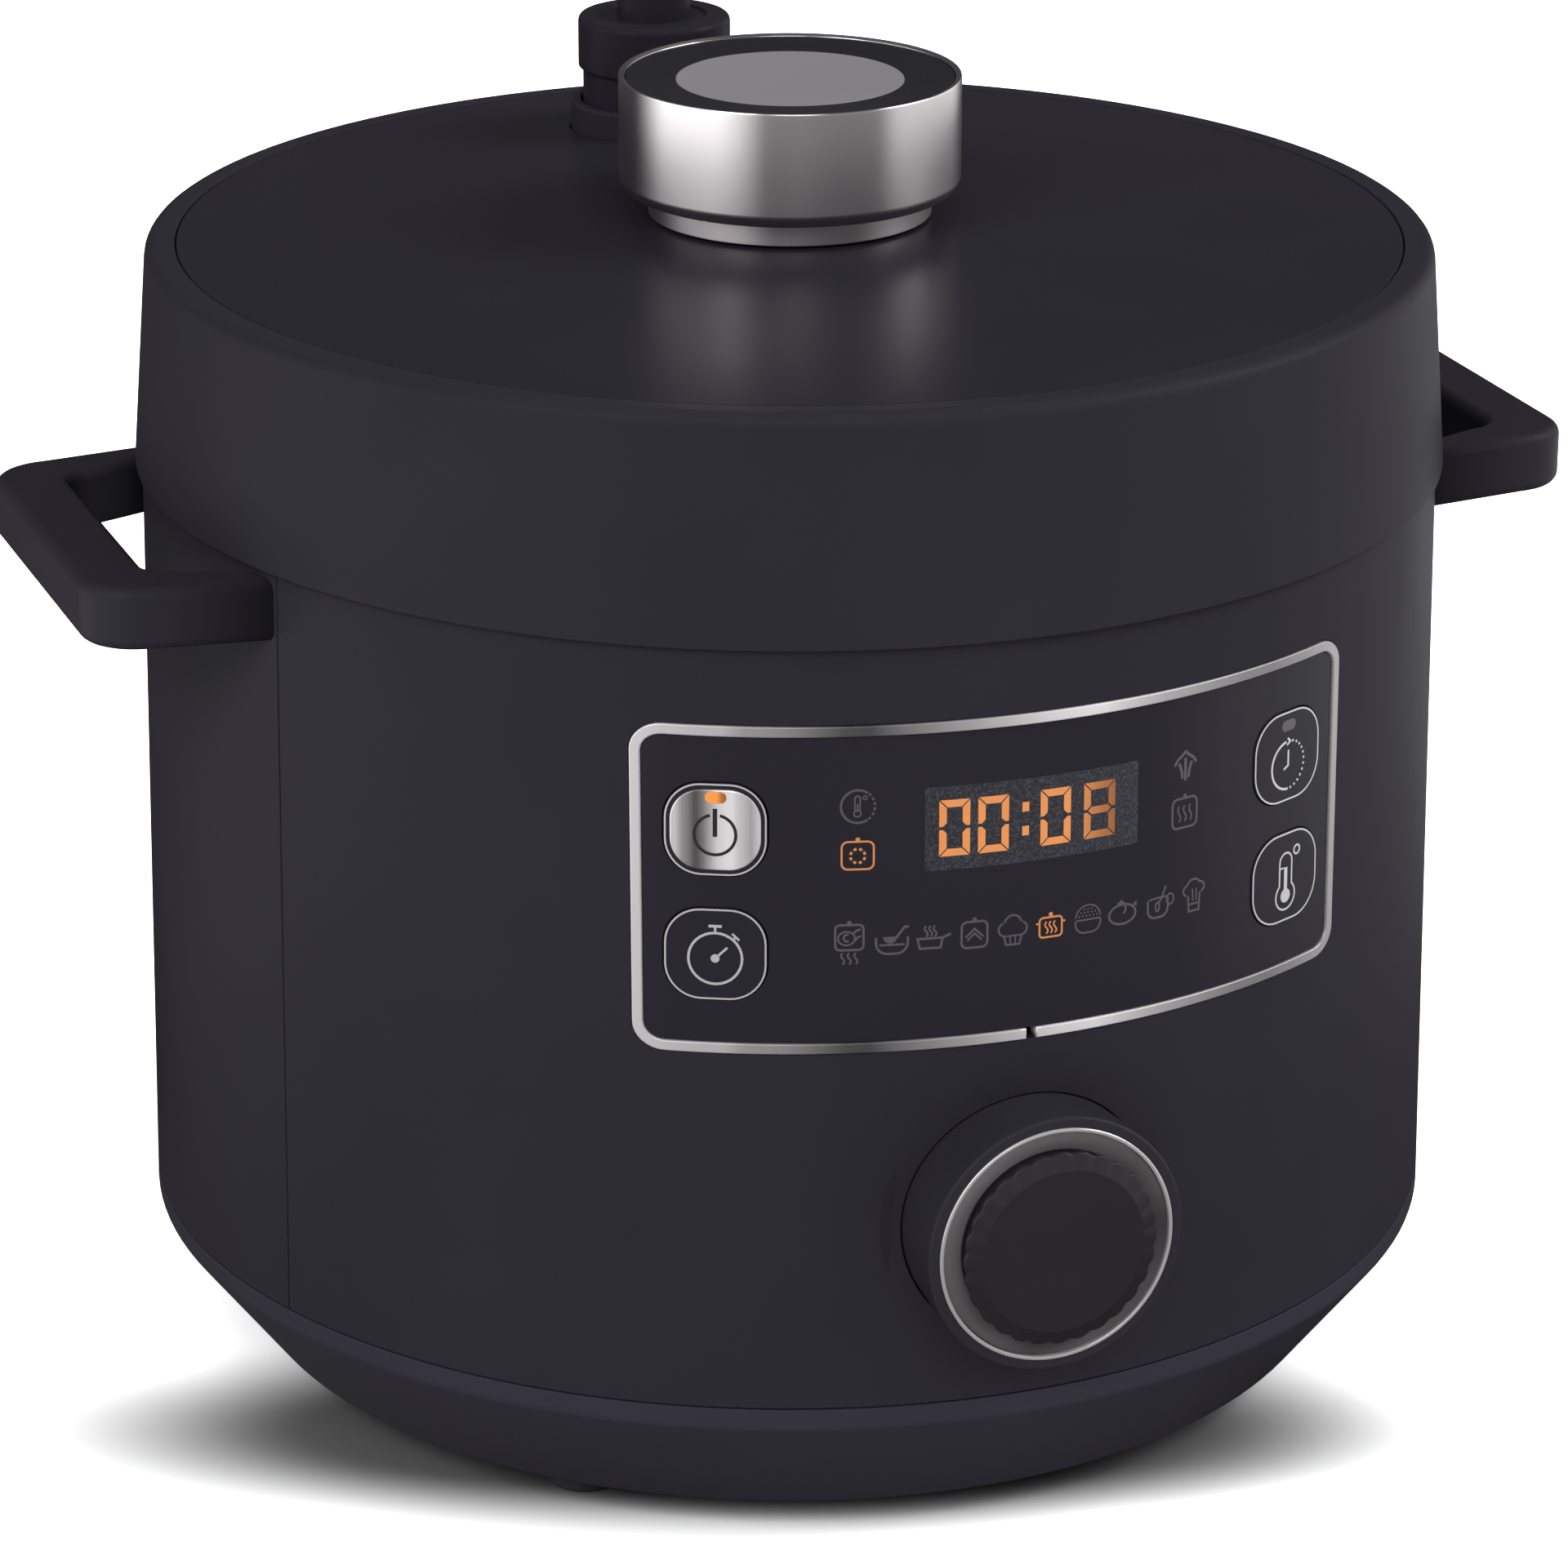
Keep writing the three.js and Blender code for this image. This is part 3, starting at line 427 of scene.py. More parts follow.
def helix(coils, r, wire, low, high, sides=12, steps=40):
    """A round wire of a radius, wound about the Z axis between two heights of its middle."""
    verts, normals, faces = [], [], []
    rise = (high - low) / (2 * math.pi * coils)
    for k in range(coils * steps + 1):
        a = 2 * math.pi * k / steps
        out = Vector((math.cos(a), math.sin(a), 0))
        along = Vector((-r * math.sin(a), r * math.cos(a), rise)).normalized()
        up = out.cross(along)
        middle = out * r + Vector((0, 0, low + rise * a))
        for j in range(sides):
            b = 2 * math.pi * j / sides
            normals.append(out * math.cos(b) + up * math.sin(b))
            verts.append(middle + normals[-1] * wire)
    for k in range(coils * steps):
        for j in range(sides):
            here, beside = k * sides + j, k * sides + (j + 1) % sides
            faces.append((here, here + sides, beside + sides, beside))
    faces.append(tuple(range(sides)))
    faces.append(tuple(reversed(range(len(verts) - sides, len(verts)))))
    return verts, faces, normals


def piece(name, body, slot, finish, *parts, replaces=()):
    """Makes one object of one or more solids and ties it to the frame."""
    verts, faces, normals, exact = [], [], [], True
    for part_verts, part_faces, part_normals in parts:
        first = len(verts)
        verts += part_verts
        faces += [tuple(first + i for i in face) for face in part_faces]
        exact = exact and part_normals is not None
        normals += part_normals or []
    mesh = bpy.data.meshes.new(name)
    mesh.from_pydata([v * MM for v in verts], [], faces)
    mesh.shade_smooth()
    mesh.materials.append(finish)
    obj = bpy.data.objects.new(name, mesh)
    bpy.context.scene.collection.objects.link(obj)
    if exact:
        mesh.normals_split_custom_set_from_vertices(normals)
    else:
        mesh.set_sharp_from_angle(angle=SHARP)
        weighted = obj.modifiers.new("weighted", "WEIGHTED_NORMAL")
        weighted.keep_sharp = True
    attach(obj, body)
    if replaces:
        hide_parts(*replaces)
    return obj


def finer(node, body, slot, finish, *parts):
    """A finer mesh that stands in for one CAD node."""
    return piece(node + "_fine", body, slot, finish, *parts, replaces=(node,))


# ---------------------------------------------------------------- finishes

def shade(colour, factor=1.0):
    """An sRGB colour out of 255 as the linear values that a shader takes, made lighter or darker."""
    out = []
    for c in colour:
        c /= 255
        out.append((c / 12.92 if c <= 0.04045 else ((c + 0.055) / 1.055) ** 2.4) * factor)
    return (*out, 1.0)


def new_material(name):
    material = bpy.data.materials.new(name)
    material.use_nodes = True
    return material, material.node_tree, material.node_tree.nodes["Principled BSDF"]


def feed(tree, socket, value):
    """Links a node's output to a socket, or sets the socket to a constant."""
    if isinstance(value, bpy.types.NodeSocket):
        tree.links.new(value, socket)
    else:
        socket.default_value = value


def fill(tree, shader, **inputs):
    """Feeds a shader's inputs, with _ for the spaces in their names."""
    for socket, value in inputs.items():
        feed(tree, shader.inputs[socket.replace("_", " ")], value)


def add(tree, kind, inputs=None, output=0, **settings):
    """Adds a shader node with its settings and inputs, and returns one of its outputs."""
    node = tree.nodes.new("ShaderNode" + kind)
    for name, value in settings.items():
        setattr(node, name, value)
    for socket, value in (inputs or {}).items():
        feed(tree, node.inputs[socket], value)
    return node.outputs[output]


def own_place(tree):
    """The object's own coordinates, in metres."""
    return add(tree, "TexCoord", output="Object")


def noise(tree, scale, detail, vector=None):
    """A noise texture. scale is features per metre."""
    vector = own_place(tree) if vector is None else vector
    return add(tree, "TexNoise", {"Scale": scale, "Detail": detail, "Vector": vector}, "Fac")


def ranged(tree, value, low, high, start=0.3, end=0.7, **settings):
    """A value that goes from low to high while the one given goes from start to end."""
    inputs = {"Value": value, "From Min": start, "From Max": end, "To Min": low, "To Max": high}
    return add(tree, "MapRange", inputs, "Result", **settings)


def mixed(tree, factor, first, second, data_type="RGBA"):
    return add(tree, "Mix", {"Factor": factor, "A": first, "B": second}, "Result", data_type=data_type)


def chosen(tree, factor, first, second):
    """Mixes two levels that are numbers or outputs."""
    return mixed(tree, factor, first, second, "FLOAT")


def times(tree, first, second):
    return add(tree, "VectorMath", {0: first, 1: second}, operation="MULTIPLY")


def most(tree, total, *values):
    """The largest of several values."""
    for value in values:
        total = add(tree, "Math", {0: total, 1: value}, operation="MAXIMUM")
    return total


def length(tree, vector):
    return add(tree, "VectorMath", {0: vector}, "Value", operation="LENGTH")


def split(tree, vector):
    """The X, Y and Z of a vector, by name."""
    return add(tree, "SeparateXYZ", {0: vector}).node.outputs


def relief(tree, height, depth):
    """Bump of a depth in metres."""
    return add(tree, "Bump", {"Distance": depth, "Strength": 1.0, "Height": height}, "Normal")


# Features per metre of the noise in a finish: slow changes, and the lines of brushing.
CLOUDS = 22
METAL_CLOUDS = 30
BRUSHING = 5200
LAMP_CLOUDS = 350


def plastic(name, colour, rough, specular=0.5, grain=6e-6, size=0.0004, spread=0.12, **inputs):
    """Moulded plastic or rubber: a fine spark-eroded grain, and gloss and colour that vary a little."""
    material, tree, shader = new_material(name)
    cloud = noise(tree, CLOUDS, 3)
    fill(tree, shader, Specular_IOR_Level=specular, **inputs,
         Base_Color=mixed(tree, cloud, shade(colour, 1 - spread), shade(colour, 1 + spread)),
         Roughness=ranged(tree, cloud, rough * 0.92, rough * 1.08),
         Normal=relief(tree, noise(tree, 1 / size, 2), grain))
    return material


def painted_brightness(tree, vector, bands):
    """A brightness painted along X into a colour, as painted reflections, light or shade. bands has
    (millimetres, brightness) in order.
    """
    first, last = bands[0][0], bands[-1][0]
    along = ranged(tree, split(tree, vector)["X"], 0, 1, first * MM, last * MM)
    colour = add(tree, "ValToRGB", {"Fac": along}, "Color")
    stops = colour.node.color_ramp.elements
    while len(stops) < len(bands):
        stops.new(0.5)
    for stop, (x, level) in zip(stops, bands):
        stop.position = (x - first) / (last - first)
        stop.color = (level, level, level, 1.0)
    return colour


def slanted(tree, vector, degrees, height):
    """Coordinates turned about a level line at a height in millimetres, so that painted bands of light and
    shade run at an angle.
    """
    turn = math.radians(degrees)
    place = (-height * MM * math.sin(turn), 0, -height * MM * math.cos(turn))
    return add(tree, "Mapping", {"Location": place, "Rotation": (0, turn, 0), "Vector": vector})


def round_axis(tree, vector):
    """The distance from the Z axis and the height, so that fine noise makes lines round the axis."""
    parts = split(tree, vector)
    flat = add(tree, "CombineXYZ", {"X": parts["X"], "Y": parts["Y"]})
    return add(tree, "CombineXYZ", {"X": length(tree, flat), "Y": parts["Z"]})


def metal(name, colour, rough, depth=4e-6, brushed=0.0, metallic=1.0, bands=None, slant=None):
    """Metal, or plating, which is less metallic. brushed is how strongly brushing runs round the Z axis, and
    bands paints reflections, light or shade along X into the colour.
    """
    material, tree, shader = new_material(name)
    coords = own_place(tree)
    lines = noise(tree, BRUSHING, 3, round_axis(tree, coords) if brushed else coords)
    tint = mixed(tree, lines, shade(colour, 0.96), shade(colour, 1.02))
    if slant:
        coords = slanted(tree, coords, *slant)
    if bands:
        tint = times(tree, tint, painted_brightness(tree, coords, bands))
    fill(tree, shader, Base_Color=tint, Metallic=metallic, Normal=relief(tree, lines, depth),
         Roughness=ranged(tree, noise(tree, METAL_CLOUDS, 2), rough * 0.9, rough * 1.1))
    if brushed:
        tangent = add(tree, "Tangent", direction_type="RADIAL", axis="Z")
        fill(tree, shader, Anisotropic=brushed, Anisotropic_Rotation=0.25, Tangent=tangent)
    return material


def lit(name, colour, strength, bands=None):
    """A lamp or a lit print behind the panel, a little uneven as a backlight is. bands paints a brightness
    along X onto it, which on the display's digits is painted shade.
    """
    material, tree, shader = new_material(name)
    tint = mixed(tree, noise(tree, LAMP_CLOUDS, 2), shade(colour, 0.88), shade(colour))
    if bands:
        tint = times(tree, tint, painted_brightness(tree, own_place(tree), bands))
    fill(tree, shader, Base_Color=tint, Emission_Color=tint, Emission_Strength=strength, Roughness=0.4)
    return material


def speckled(name, dark, light, size, rough=0.45):
    """A dark ground with pale flecks, for a coated pan, a circuit board or a display's filter."""
    material, tree, shader = new_material(name)
    flecks = noise(tree, 1 / size, 1)
    tint = mixed(tree, ranged(tree, flecks, 0, 1, 0.48, 0.62), shade(dark), shade(light))
    fill(tree, shader, Base_Color=tint, Normal=relief(tree, flecks, 4e-6),
         Roughness=ranged(tree, flecks, rough * 0.9, rough * 1.1))
    return material


# Brightness painted along X, as (millimetres along X, brightness): painted reflections on plated pieces,
# painted light and shade on the dial's band, painted shade on the display's digits, and the light of a lamp.
# Painted light and shade on the dial's band, bright on its left and dark on its right.
DIAL_PAINTED_SHADING = [(-23, 1.0), (-15, 0.82), (-8, 0.68), (0, 0.49), (8, 0.46), (15, 0.27), (20, 0.34), (23, 0.45)]
DIAL_SLANT = (-50, DIAL_Z)  # the painted light and shade lean by this angle about the dial's middle
# Painted reflections across the plated panel frame: dark left of the middle, brightest right of it.
FRAME_PAINTED_REFLECTIONS = [
    (-78, 0.62), (-64, 0.55), (-60, 0.38), (-52, 0.3), (-46, 0.19), (-40, 0.09), (-35, 0.08), (-30, 0.18),
    (-15, 0.42), (-5, 0.62), (5, 0.84), (15, 0.93), (21, 0.72), (31, 0.47), (41, 0.33), (51, 0.22), (60, 0.2),
    (69, 0.26), (78, 0.36)]
# Painted reflections across the power key's cap: a dark stretch near its left edge and bright ones beside it.
CAP_PAINTED_REFLECTIONS = [
    (-73.6, 0.72), (-72.7, 0.7), (-71.5, 0.36), (-70.3, 0.25), (-69.2, 0.11), (-68.6, 0.12), (-67.5, 0.25),
    (-66.3, 0.5), (-64.9, 0.85), (-63.2, 1.0), (-62.0, 1.0), (-61.0, 0.8), (-59.2, 0.6), (-58.5, 0.5),
    (-57.5, 0.7), (-56.6, 0.85), (-56.0, 0.85)]
LAMP_BANDS = [(-67.5, 0.9), (-66.2, 1.0), (-65.0, 0.95), (-64.0, 0.4), (-63.0, 0.3)]
# Painted shade that darkens the display's digits towards the right.
DIGIT_PAINTED_SHADE = [(-24, 1.0), (9, 1.0), (12, 0.8), (15.5, 0.55), (19, 0.4), (22, 0.35)]

CHARCOAL = (42, 40, 47)
BODY = plastic("body_plastic", CHARCOAL, 0.45, 0.03)
LID_TOP = plastic("lid_top_plastic", (37, 35, 42), 0.3, 0.025, grain=3e-6)
HANDLE_FINISH = plastic("handle_plastic", CHARCOAL, 0.45, 0.05)
# The body's charcoal made lighter as painted light, lifting the base out of the shade under the body's
# overhang; the bottom cover shares it.
BASE_PAINTED_LIGHT = plastic("base_plastic_painted_light", (50, 48, 56), 0.45, 0.03)
GLOSS = plastic("panel_gloss", (36, 34, 41), 0.2, 0.12, grain=1e-6, spread=0.06)
KEY_GLOSS = plastic("key_gloss", (37, 35, 42), 0.2, 0.12, grain=1e-6, spread=0.06)
BEZEL_GLOSS = plastic("bezel_gloss", (26, 25, 30), 0.2, 0.25, grain=1e-6, spread=0.06)
DIAL_DARK = plastic("dial_plastic", (35, 33, 39), 0.4, 0.22)
DIAL_SIDE = plastic("dial_side_plastic", CHARCOAL, 0.45, 0.08)
DIAL_BAND = metal("dial_band", (125, 120, 123), 0.5, 2e-6, metallic=0.1, bands=DIAL_PAINTED_SHADING, slant=DIAL_SLANT)
DISC_GREY = plastic("disc_grey", (122, 120, 124), 0.5, grain=3e-6, spread=0.03)
PLINTH_STEEL = metal("plinth_steel", (205, 198, 200), 0.35, 3e-6, 0.5)
INLET_BLACK = plastic("inlet_plastic", (26, 26, 28), 0.35)
KNOB_STEEL = metal("knob_steel", (222, 217, 218), 0.25, 1e-6, 0.65)
FRAME_SILVER = metal("frame_silver", (250, 247, 249), 0.3, 5e-7, metallic=0.4, bands=FRAME_PAINTED_REFLECTIONS)
CHROME = metal("chrome", (200, 198, 199), 0.2, 1e-6, metallic=0.5)
PRINT_DARK = plastic("print_dark", (28, 27, 30), 0.4)
PRINT_GREY = plastic("print_grey", (76, 74, 78), 0.5, spread=0.05)
PRINT_SILVER = metal("print_silver", (205, 203, 205), 0.35, metallic=0.5)
POWER_CAP = metal("power_cap", (250, 246, 248), 0.3, 2e-6, metallic=0.5, bands=CAP_PAINTED_REFLECTIONS)
LAMP_GREY = plastic("lamp_grey", (76, 74, 78), 0.35, spread=0.04)
LAMP_ORANGE = lit("lamp_orange", (228, 135, 48), 0.35, LAMP_BANDS)
LIT_ORANGE = lit("lit_orange", (187, 116, 62), 0.3)
LIT_DIGITS = lit("lit_digits", (198, 124, 66), 0.4, DIGIT_PAINTED_SHADE)
DISPLAY = speckled("display_filter", (36, 36, 43), (58, 58, 68), 0.0005)
RUBBER = plastic("foot_rubber", (40, 39, 43), 0.8, grain=2e-5, size=0.0006)
SILICONE = plastic("silicone", (205, 203, 198), 0.55, Subsurface_Weight=0.2)
NUT_RUBBER = plastic("seal_rubber", (190, 188, 184), 0.5)
COATING = speckled("pot_coating", (38, 38, 40), (92, 92, 95), 0.0006)
ALUMINIUM = metal("spun_aluminium", (196, 198, 200), 0.38, 6e-6, 0.4)
CAST = plastic("cast_aluminium", (168, 170, 172), 0.5, grain=3e-5, size=0.0007, Metallic=1.0)
STEEL = metal("plain_steel", (188, 188, 190), 0.3, brushed=0.3)
PRESSED = metal("pressed_steel", (182, 183, 186), 0.34)
BRASS = metal("contact_brass", (205, 180, 120), 0.3, 3e-6)
BOARD = speckled("circuit_board", (24, 84, 48), (52, 120, 70), 0.0015)
SUPPORT = plastic("support_plastic", (30, 30, 32), 0.55)
SMOKE = plastic("smoked_plastic", (60, 60, 64), 0.16, grain=1e-6, Transmission_Weight=0.55, IOR=1.49)


# ---------------------------------------------------------------- base, cover and feet

def build_base():
    finer("base_shell", "root", "charcoal_plastic", BASE_PAINTED_LIGHT, lathe([
        (118, BASE_Z), (127.0, BASE_Z, 1.6), (BEND_R, BEND_Z, 3.2),
        (body_radius(BASE_TOP), BASE_TOP, 0.35), (body_radius(BASE_TOP) - WALL, BASE_TOP),
        (BEND_R - WALL, 37.7), (126.5, 13.2), (118, 13.2),
    ]))


def slot_outline(inner, outer, half, degrees):
    """A radial slot with round ends."""
    loop = arc(outer - half, 0, half, -90, 90, 8) + arc(inner + half, 0, half, 90, 270, 8)
    a = math.radians(degrees)
    return [(x * math.cos(a) - y * math.sin(a), x * math.sin(a) + y * math.cos(a)) for x, y in loop]


def cross(reach, half):
    """A cross recess."""
    quarter = [(half, half), (half, reach), (-half, reach)]
    loop = []
    for turn in range(4):
        for x, y in quarter:
            for _ in range(turn):
                x, y = -y, x
            loop.append((x, y))
    return loop


def build_bottom():
    slots = [slot_outline(50, 92, 1.4, a) for a in turns(16, 11.25)]
    feet = [polar(FEET_R, a) for a in turns(4, 45)]
    holes = slots + [circle(x, y, 4.3, 24) for x, y in feet]
    cover = sheet([circle(0, 0, 117.7, ROUND)] + holes, -10.5, -BASE_Z, under_plan, 0.3, grid=(12, 12))
    ribs = [lathe([(r, BASE_Z - 0.5), (r + 1.2, BASE_Z - 0.5, 0.3), (r + 1.2, BASE_Z), (r, BASE_Z)], MEDIUM)
            for r in (30, 42, 98)]
    finer("bottom_cover", "root", "charcoal_plastic", BASE_PAINTED_LIGHT, cover, *ribs)
    names = ["foot_rear_right", "foot_rear_left", "foot_front_left", "foot_front_right"]
    for name, spot in zip(names, feet):
        finer(name, "root", "foot_rubber", RUBBER, lathe([
            (0, 0.5), (3.2, 0.5, 0.3), (3.6, 0, 0.3), (8, 0, 1.3), (8, 8.2, 0.4), (4, 8.2), (4, 12.5),
            (0, 12.5),
        ], SMALL, spot))
    for i, a in enumerate(turns(4)):
        head = sheet([circle(0, 0, 3.4, 32), cross(2.0, 0.4)], -7.7, -6.7, under_plan, 0.5)
        disc = sheet([circle(0, 0, 3.4, 32)], -8.2, -7.7, under_plan, 0)
        shank = lathe([(0, 8.2), (1.5, 8.2), (1.5, 17.5), (0, 18)], 16)
        screw = [turned_about_z((([v + Vector((COVER_SCREW_R, 0, 0)) for v in p[0]]), p[1], p[2]), a)
                 for p in (head, disc, shank)]
        finer(f"cover_screw_{i + 1}", "root", "plain_steel", PRESSED, *screw)


# ---------------------------------------------------------------- outer shells and handles

def panel_outline(inset, more=0.0):
    """The control panel's outline seen from the front, at an inset that may be more above and below."""
    low, high = PANEL_Z
    half = body_radius((low + high) / 2) * math.sin(math.radians(PANEL_ANGLE))
    height = high - low - 2 * (inset + more)
    return rounded_rect(2 * (half - inset), height, PANEL_CORNER - min(inset, 3), 0, (low + high) / 2)


def build_fascia():
    edge_u = skin_u(SEAM_ANGLE)
    outline = [(-edge_u, SKIN_Z), (edge_u, SKIN_Z), (edge_u, SKIN_TOP), (-edge_u, SKIN_TOP)]
    panel = wrapped(divided(panel_outline(-0.12), 3))
    pocket = wrapped(circle(0, DIAL_Z, DIAL_BASE_R + 0.45, MEDIUM))
    skin = sheet([divided(outline, 4), panel, pocket], -2.4, 0, on_skin, 0.25, grid=(4, 16))
    cup = lathe([(7, -4.8), (32.6, -4.8), (32.6, 0.9), (28.4, 0.9), (28.4, -1.8), (7, -1.8)], MEDIUM,
                turn=dial_turn)
    finer("front_fascia", "root", "charcoal_plastic", BODY, skin, cup)


def build_rear():
    a, b = skin_u(SEAM_ANGLE + 0.12), skin_u(360 - SEAM_ANGLE - 0.12)
    back = skin_u(180)
    outline = [(a, SKIN_Z), (b, SKIN_Z), (b, SKIN_TOP), (a, SKIN_TOP)]
    inlet = rounded_rect(27.6, 20.1, 3, 0, INLET_Z)
    pegs = [circle(x, PEG_Z, 3.3, 24) for x in PEGS]
    holes = [shifted(wrapped(loop), back, 0) for loop in [inlet] + pegs]
    skin = sheet([divided(outline, 4)] + holes, -WALL, 0, on_skin, 0.25, grid=(4, 16))
    inlet_pad = sheet([rounded_rect(38, 30, 4, 0, INLET_Z), inlet], *PAD, on_back, 0.8)
    collector_pad = sheet([rounded_rect(40, 16, 4, 0, PEG_Z)] + pegs, *PAD, on_back, 0.8)
    finer("rear_shell", "root", "charcoal_plastic", BODY, skin, inlet_pad, collector_pad)


def met(a, b, r):
    """Where the line from a to b crosses the circle of a radius about the axis."""
    low, high = 0.0, 1.0
    for _ in range(40):
        t = (low + high) / 2
        here = (a[0] + (b[0] - a[0]) * t, a[1] + (b[1] - a[1]) * t)
        low, high = (t, high) if math.hypot(*here) < r else (low, t)
    return here


def handle_outline():
    """Plan of the right handle. Its two roots run into the body's wall."""
    root = TOP_R - 2.2
    outer_tip = (HANDLE_X - 13, 49.5)
    inner_tip = (HANDLE_X - 22.8, 38)
    outer_root, inner_root = met((128, 54), outer_tip, root), met((128, 47.5), inner_tip, root)
    outer = arc(outer_tip[0], -36.5, 13, -90, 0, 12) + arc(outer_tip[0], 36.5, 13, 0, 90, 12)
    inner = arc(inner_tip[0], 31, 7, 90, 0, 10) + arc(inner_tip[0], -31, 7, 0, -90, 10)
    below = [(x, -y) for x, y in (inner_root, outer_root)]
    return outer + [outer_root, inner_root] + inner + below


def build_handles():
    low, high = HANDLE_Z
    solid = sheet([handle_outline()], low, high, on_plan, 2.6, 2.6, steps=6)
    for side, degrees in (("right", 0), ("left", 180)):
        finer(f"handle_{side}", "root", "charcoal_plastic", HANDLE_FINISH, turned_about_z(solid, degrees))


# ---------------------------------------------------------------- lid

def build_lid():
    finer("lid_shell", "lid", "charcoal_plastic", BODY, lathe([
        (LID_R - WALL, LID_Z), (LID_R, LID_Z, 0.3), (RIM_R + 0.1, RIM_Z, 3.4),
        (PANEL_R + GAP, RIM_Z + 0.1, 0.35), (PANEL_R + GAP, 260), (130, 260), (130, 257.2), (141, 257.2),
    ]))
    holes = [circle(0, 0, 8.4), circle(0, VALVE_Y, 20.1, MEDIUM), circle(*FLOAT, 4.2, 32)]
    top = sheet([circle(0, 0, PANEL_R, ROUND)] + holes, -2.2, 0, on_dome, 0.35, grid=(6, 6))
    finer("lid_top_panel", "lid", "charcoal_plastic", LID_TOP, top)
    finer("valve_collar", "lid", "charcoal_plastic", BODY, lathe([
        (6.3, 258), (19.8, 258), (19.8, 271.5, 1.0), (17.4, 271.5, 0.6), (17.4, 262), (6.3, 262),
    ], MEDIUM, (0, VALVE_Y)))
    finer("valve_cap", "valve_top", "charcoal_plastic", LID_TOP, lathe([
        (0, 284.3), (9, 284.3), (9, 263), (16.9, 263, 0.4), (16.9, 279.2), (18, 279.2, 0.6), (18, 291.6, 1.8),
        (12.4, 291.6, 0.3), (12.1, 291.1, 0.3), (8.7, 291.1), (8.7, 297.8, 1.5), (0, 297.8),
    ], MEDIUM, (0, VALVE_Y)))
    finer("valve_weight", "valve", "plain_steel", STEEL, lathe([
        (0, 268.3), (4, 268.3), (8.7, 270.5, 0.6), (8.7, 284, 0.6), (0, 284),
    ], SMALL, (0, VALVE_Y)))
    top = dome_z(math.hypot(*FLOAT)) - 0.2
    finer("float_pin", "float", "aluminium", ALUMINIUM, lathe([
        (0, 196.5), (4.4, 196.5, 0.3), (4.4, 197.7, 0.3), (2.5, 197.7), (2.5, 260), (3.6, 260),
        (3.6, top, 0.7), (0, top),
    ], 32, FLOAT))


def build_knob():
    finer("knob_plinth", "lid", "brushed_steel", PLINTH_STEEL, lathe([
        (9, 267), (31.8, 267, 0.3), (31.8, KNOB_Z - 0.3, 0.6), (9, KNOB_Z - 0.3),
    ], MEDIUM))
    finer("knob_ring", "knob", "brushed_steel", KNOB_STEEL, lathe([
        (22, KNOB_Z), (36.3, KNOB_Z, 0.8), (KNOB_R, KNOB_Z + 2.4, 1.8), (KNOB_R, KNOB_TOP, 1.1),
        (36.9, KNOB_TOP - 0.7, 0.2), (36.9, KNOB_Z + 2.6), (22, KNOB_Z + 2.6),
    ], ROUND))
    finer("knob_bezel", "knob", "gloss_black", BEZEL_GLOSS, lathe([
        (0, 292.7), (33.3, 292.7), (33.3, KNOB_Z + 3), (36.75, KNOB_Z + 3), (36.75, KNOB_TOP - 0.8, 0.3),
        (25.6, KNOB_TOP - 1.5, 0.2), (25.6, 295.7), (0, 295.7),
    ], ROUND))
    finer("knob_disc", "knob", "grey_disc", DISC_GREY, lathe([
        (0, 296), (25.5, 296), (25.5, KNOB_TOP - 1.5, 0.15), (0, KNOB_TOP - 1.5),
    ], MEDIUM))


# ---------------------------------------------------------------- inside the lid

def sector(inner, outer, centre, half, steps=10):
    """Outline of a piece of a ring."""
    a, b = centre - half, centre + half
    return arc(0, 0, outer, a, b, steps) + arc(0, 0, inner, b, a, steps)


def rods(r, z0, z1, reach, angles, sides=32):
    """Upright rods at one radius from the axis."""
    return [lathe([(0, z0), (r, z0), (r, z1), (0, z1)], sides, polar(reach, a)) for a in angles]


PIPE_HOLES = [circle(0, VALVE_Y, 6.3, 32), circle(*FLOAT, 2.8, 24)]


def build_lid_inside():
    support = sheet([circle(0, 0, 139, ROUND), circle(0, 0, 8.4)] + PIPE_HOLES, 222, 224.5, on_plan, 0.4, 0.4,
                    grid=(20, 20))
    posts = rods(4, 224.5, 256.9, 134, turns(4, 45))
    finer("lid_support", "lid", "support_plastic", SUPPORT, support, *posts)
    plate = sheet([circle(0, 0, 107, ROUND)] + PIPE_HOLES, 206, 209, on_plan, 0.6, 0.6, grid=(20, 20))
    posts = rods(5, 209, 221.7, 60, (65, 115, 245, 295))
    stud = lathe([(0, 197.5), (3, 197.5), (3, 206), (0, 206)], 24)
    finer("pressure_plate", "lid", "aluminium", CAST, plate, *posts, stud)
    finer("inner_lid", "lid", "aluminium", ALUMINIUM, lathe([
        (3.3, 202.5), (40, 202.5), (41, 202.9, 0.5), (98, 202.9), (100, 202.5, 0.8), (102.5, 203.3, 0.8),
        (104.3, 205.3, 0.3), (103, 205.7, 0.3), (99, 203.7), (3.3, 203.7),
    ]))
    finer("sealing_gasket", "lid", "silicone", SILICONE, lathe([
        (104.7, 203.1, 0.3), (107.4, 201.3, 0.5), (109.2, 199.5, 0.5), (109.7, 199.9, 0.3),
        (109.7, 205.1, 0.3), (108.8, 205.7, 0.3), (104.7, 205.7, 0.3),
    ], ROUND))
    finer("inner_lid_nut", "lid", "silicone", NUT_RUBBER, lathe([
        (0, 194), (8, 194, 1.8), (9, 198, 1.2), (9, 202.2, 0.4), (3.3, 202.2), (3.3, 196.8), (0, 196.8),
    ], SMALL))
    finer("steam_pipe", "lid", "plain_steel", STEEL, lathe([
        (1.8, 199), (6, 199, 0.3), (6, 225), (10, 225, 0.3), (10, 229, 0.3), (6, 229), (6, 266, 0.4),
        (4, 268, 0.4), (1.8, 268),
    ], SMALL, (0, VALVE_Y)))
    build_filter()
    build_bridge()


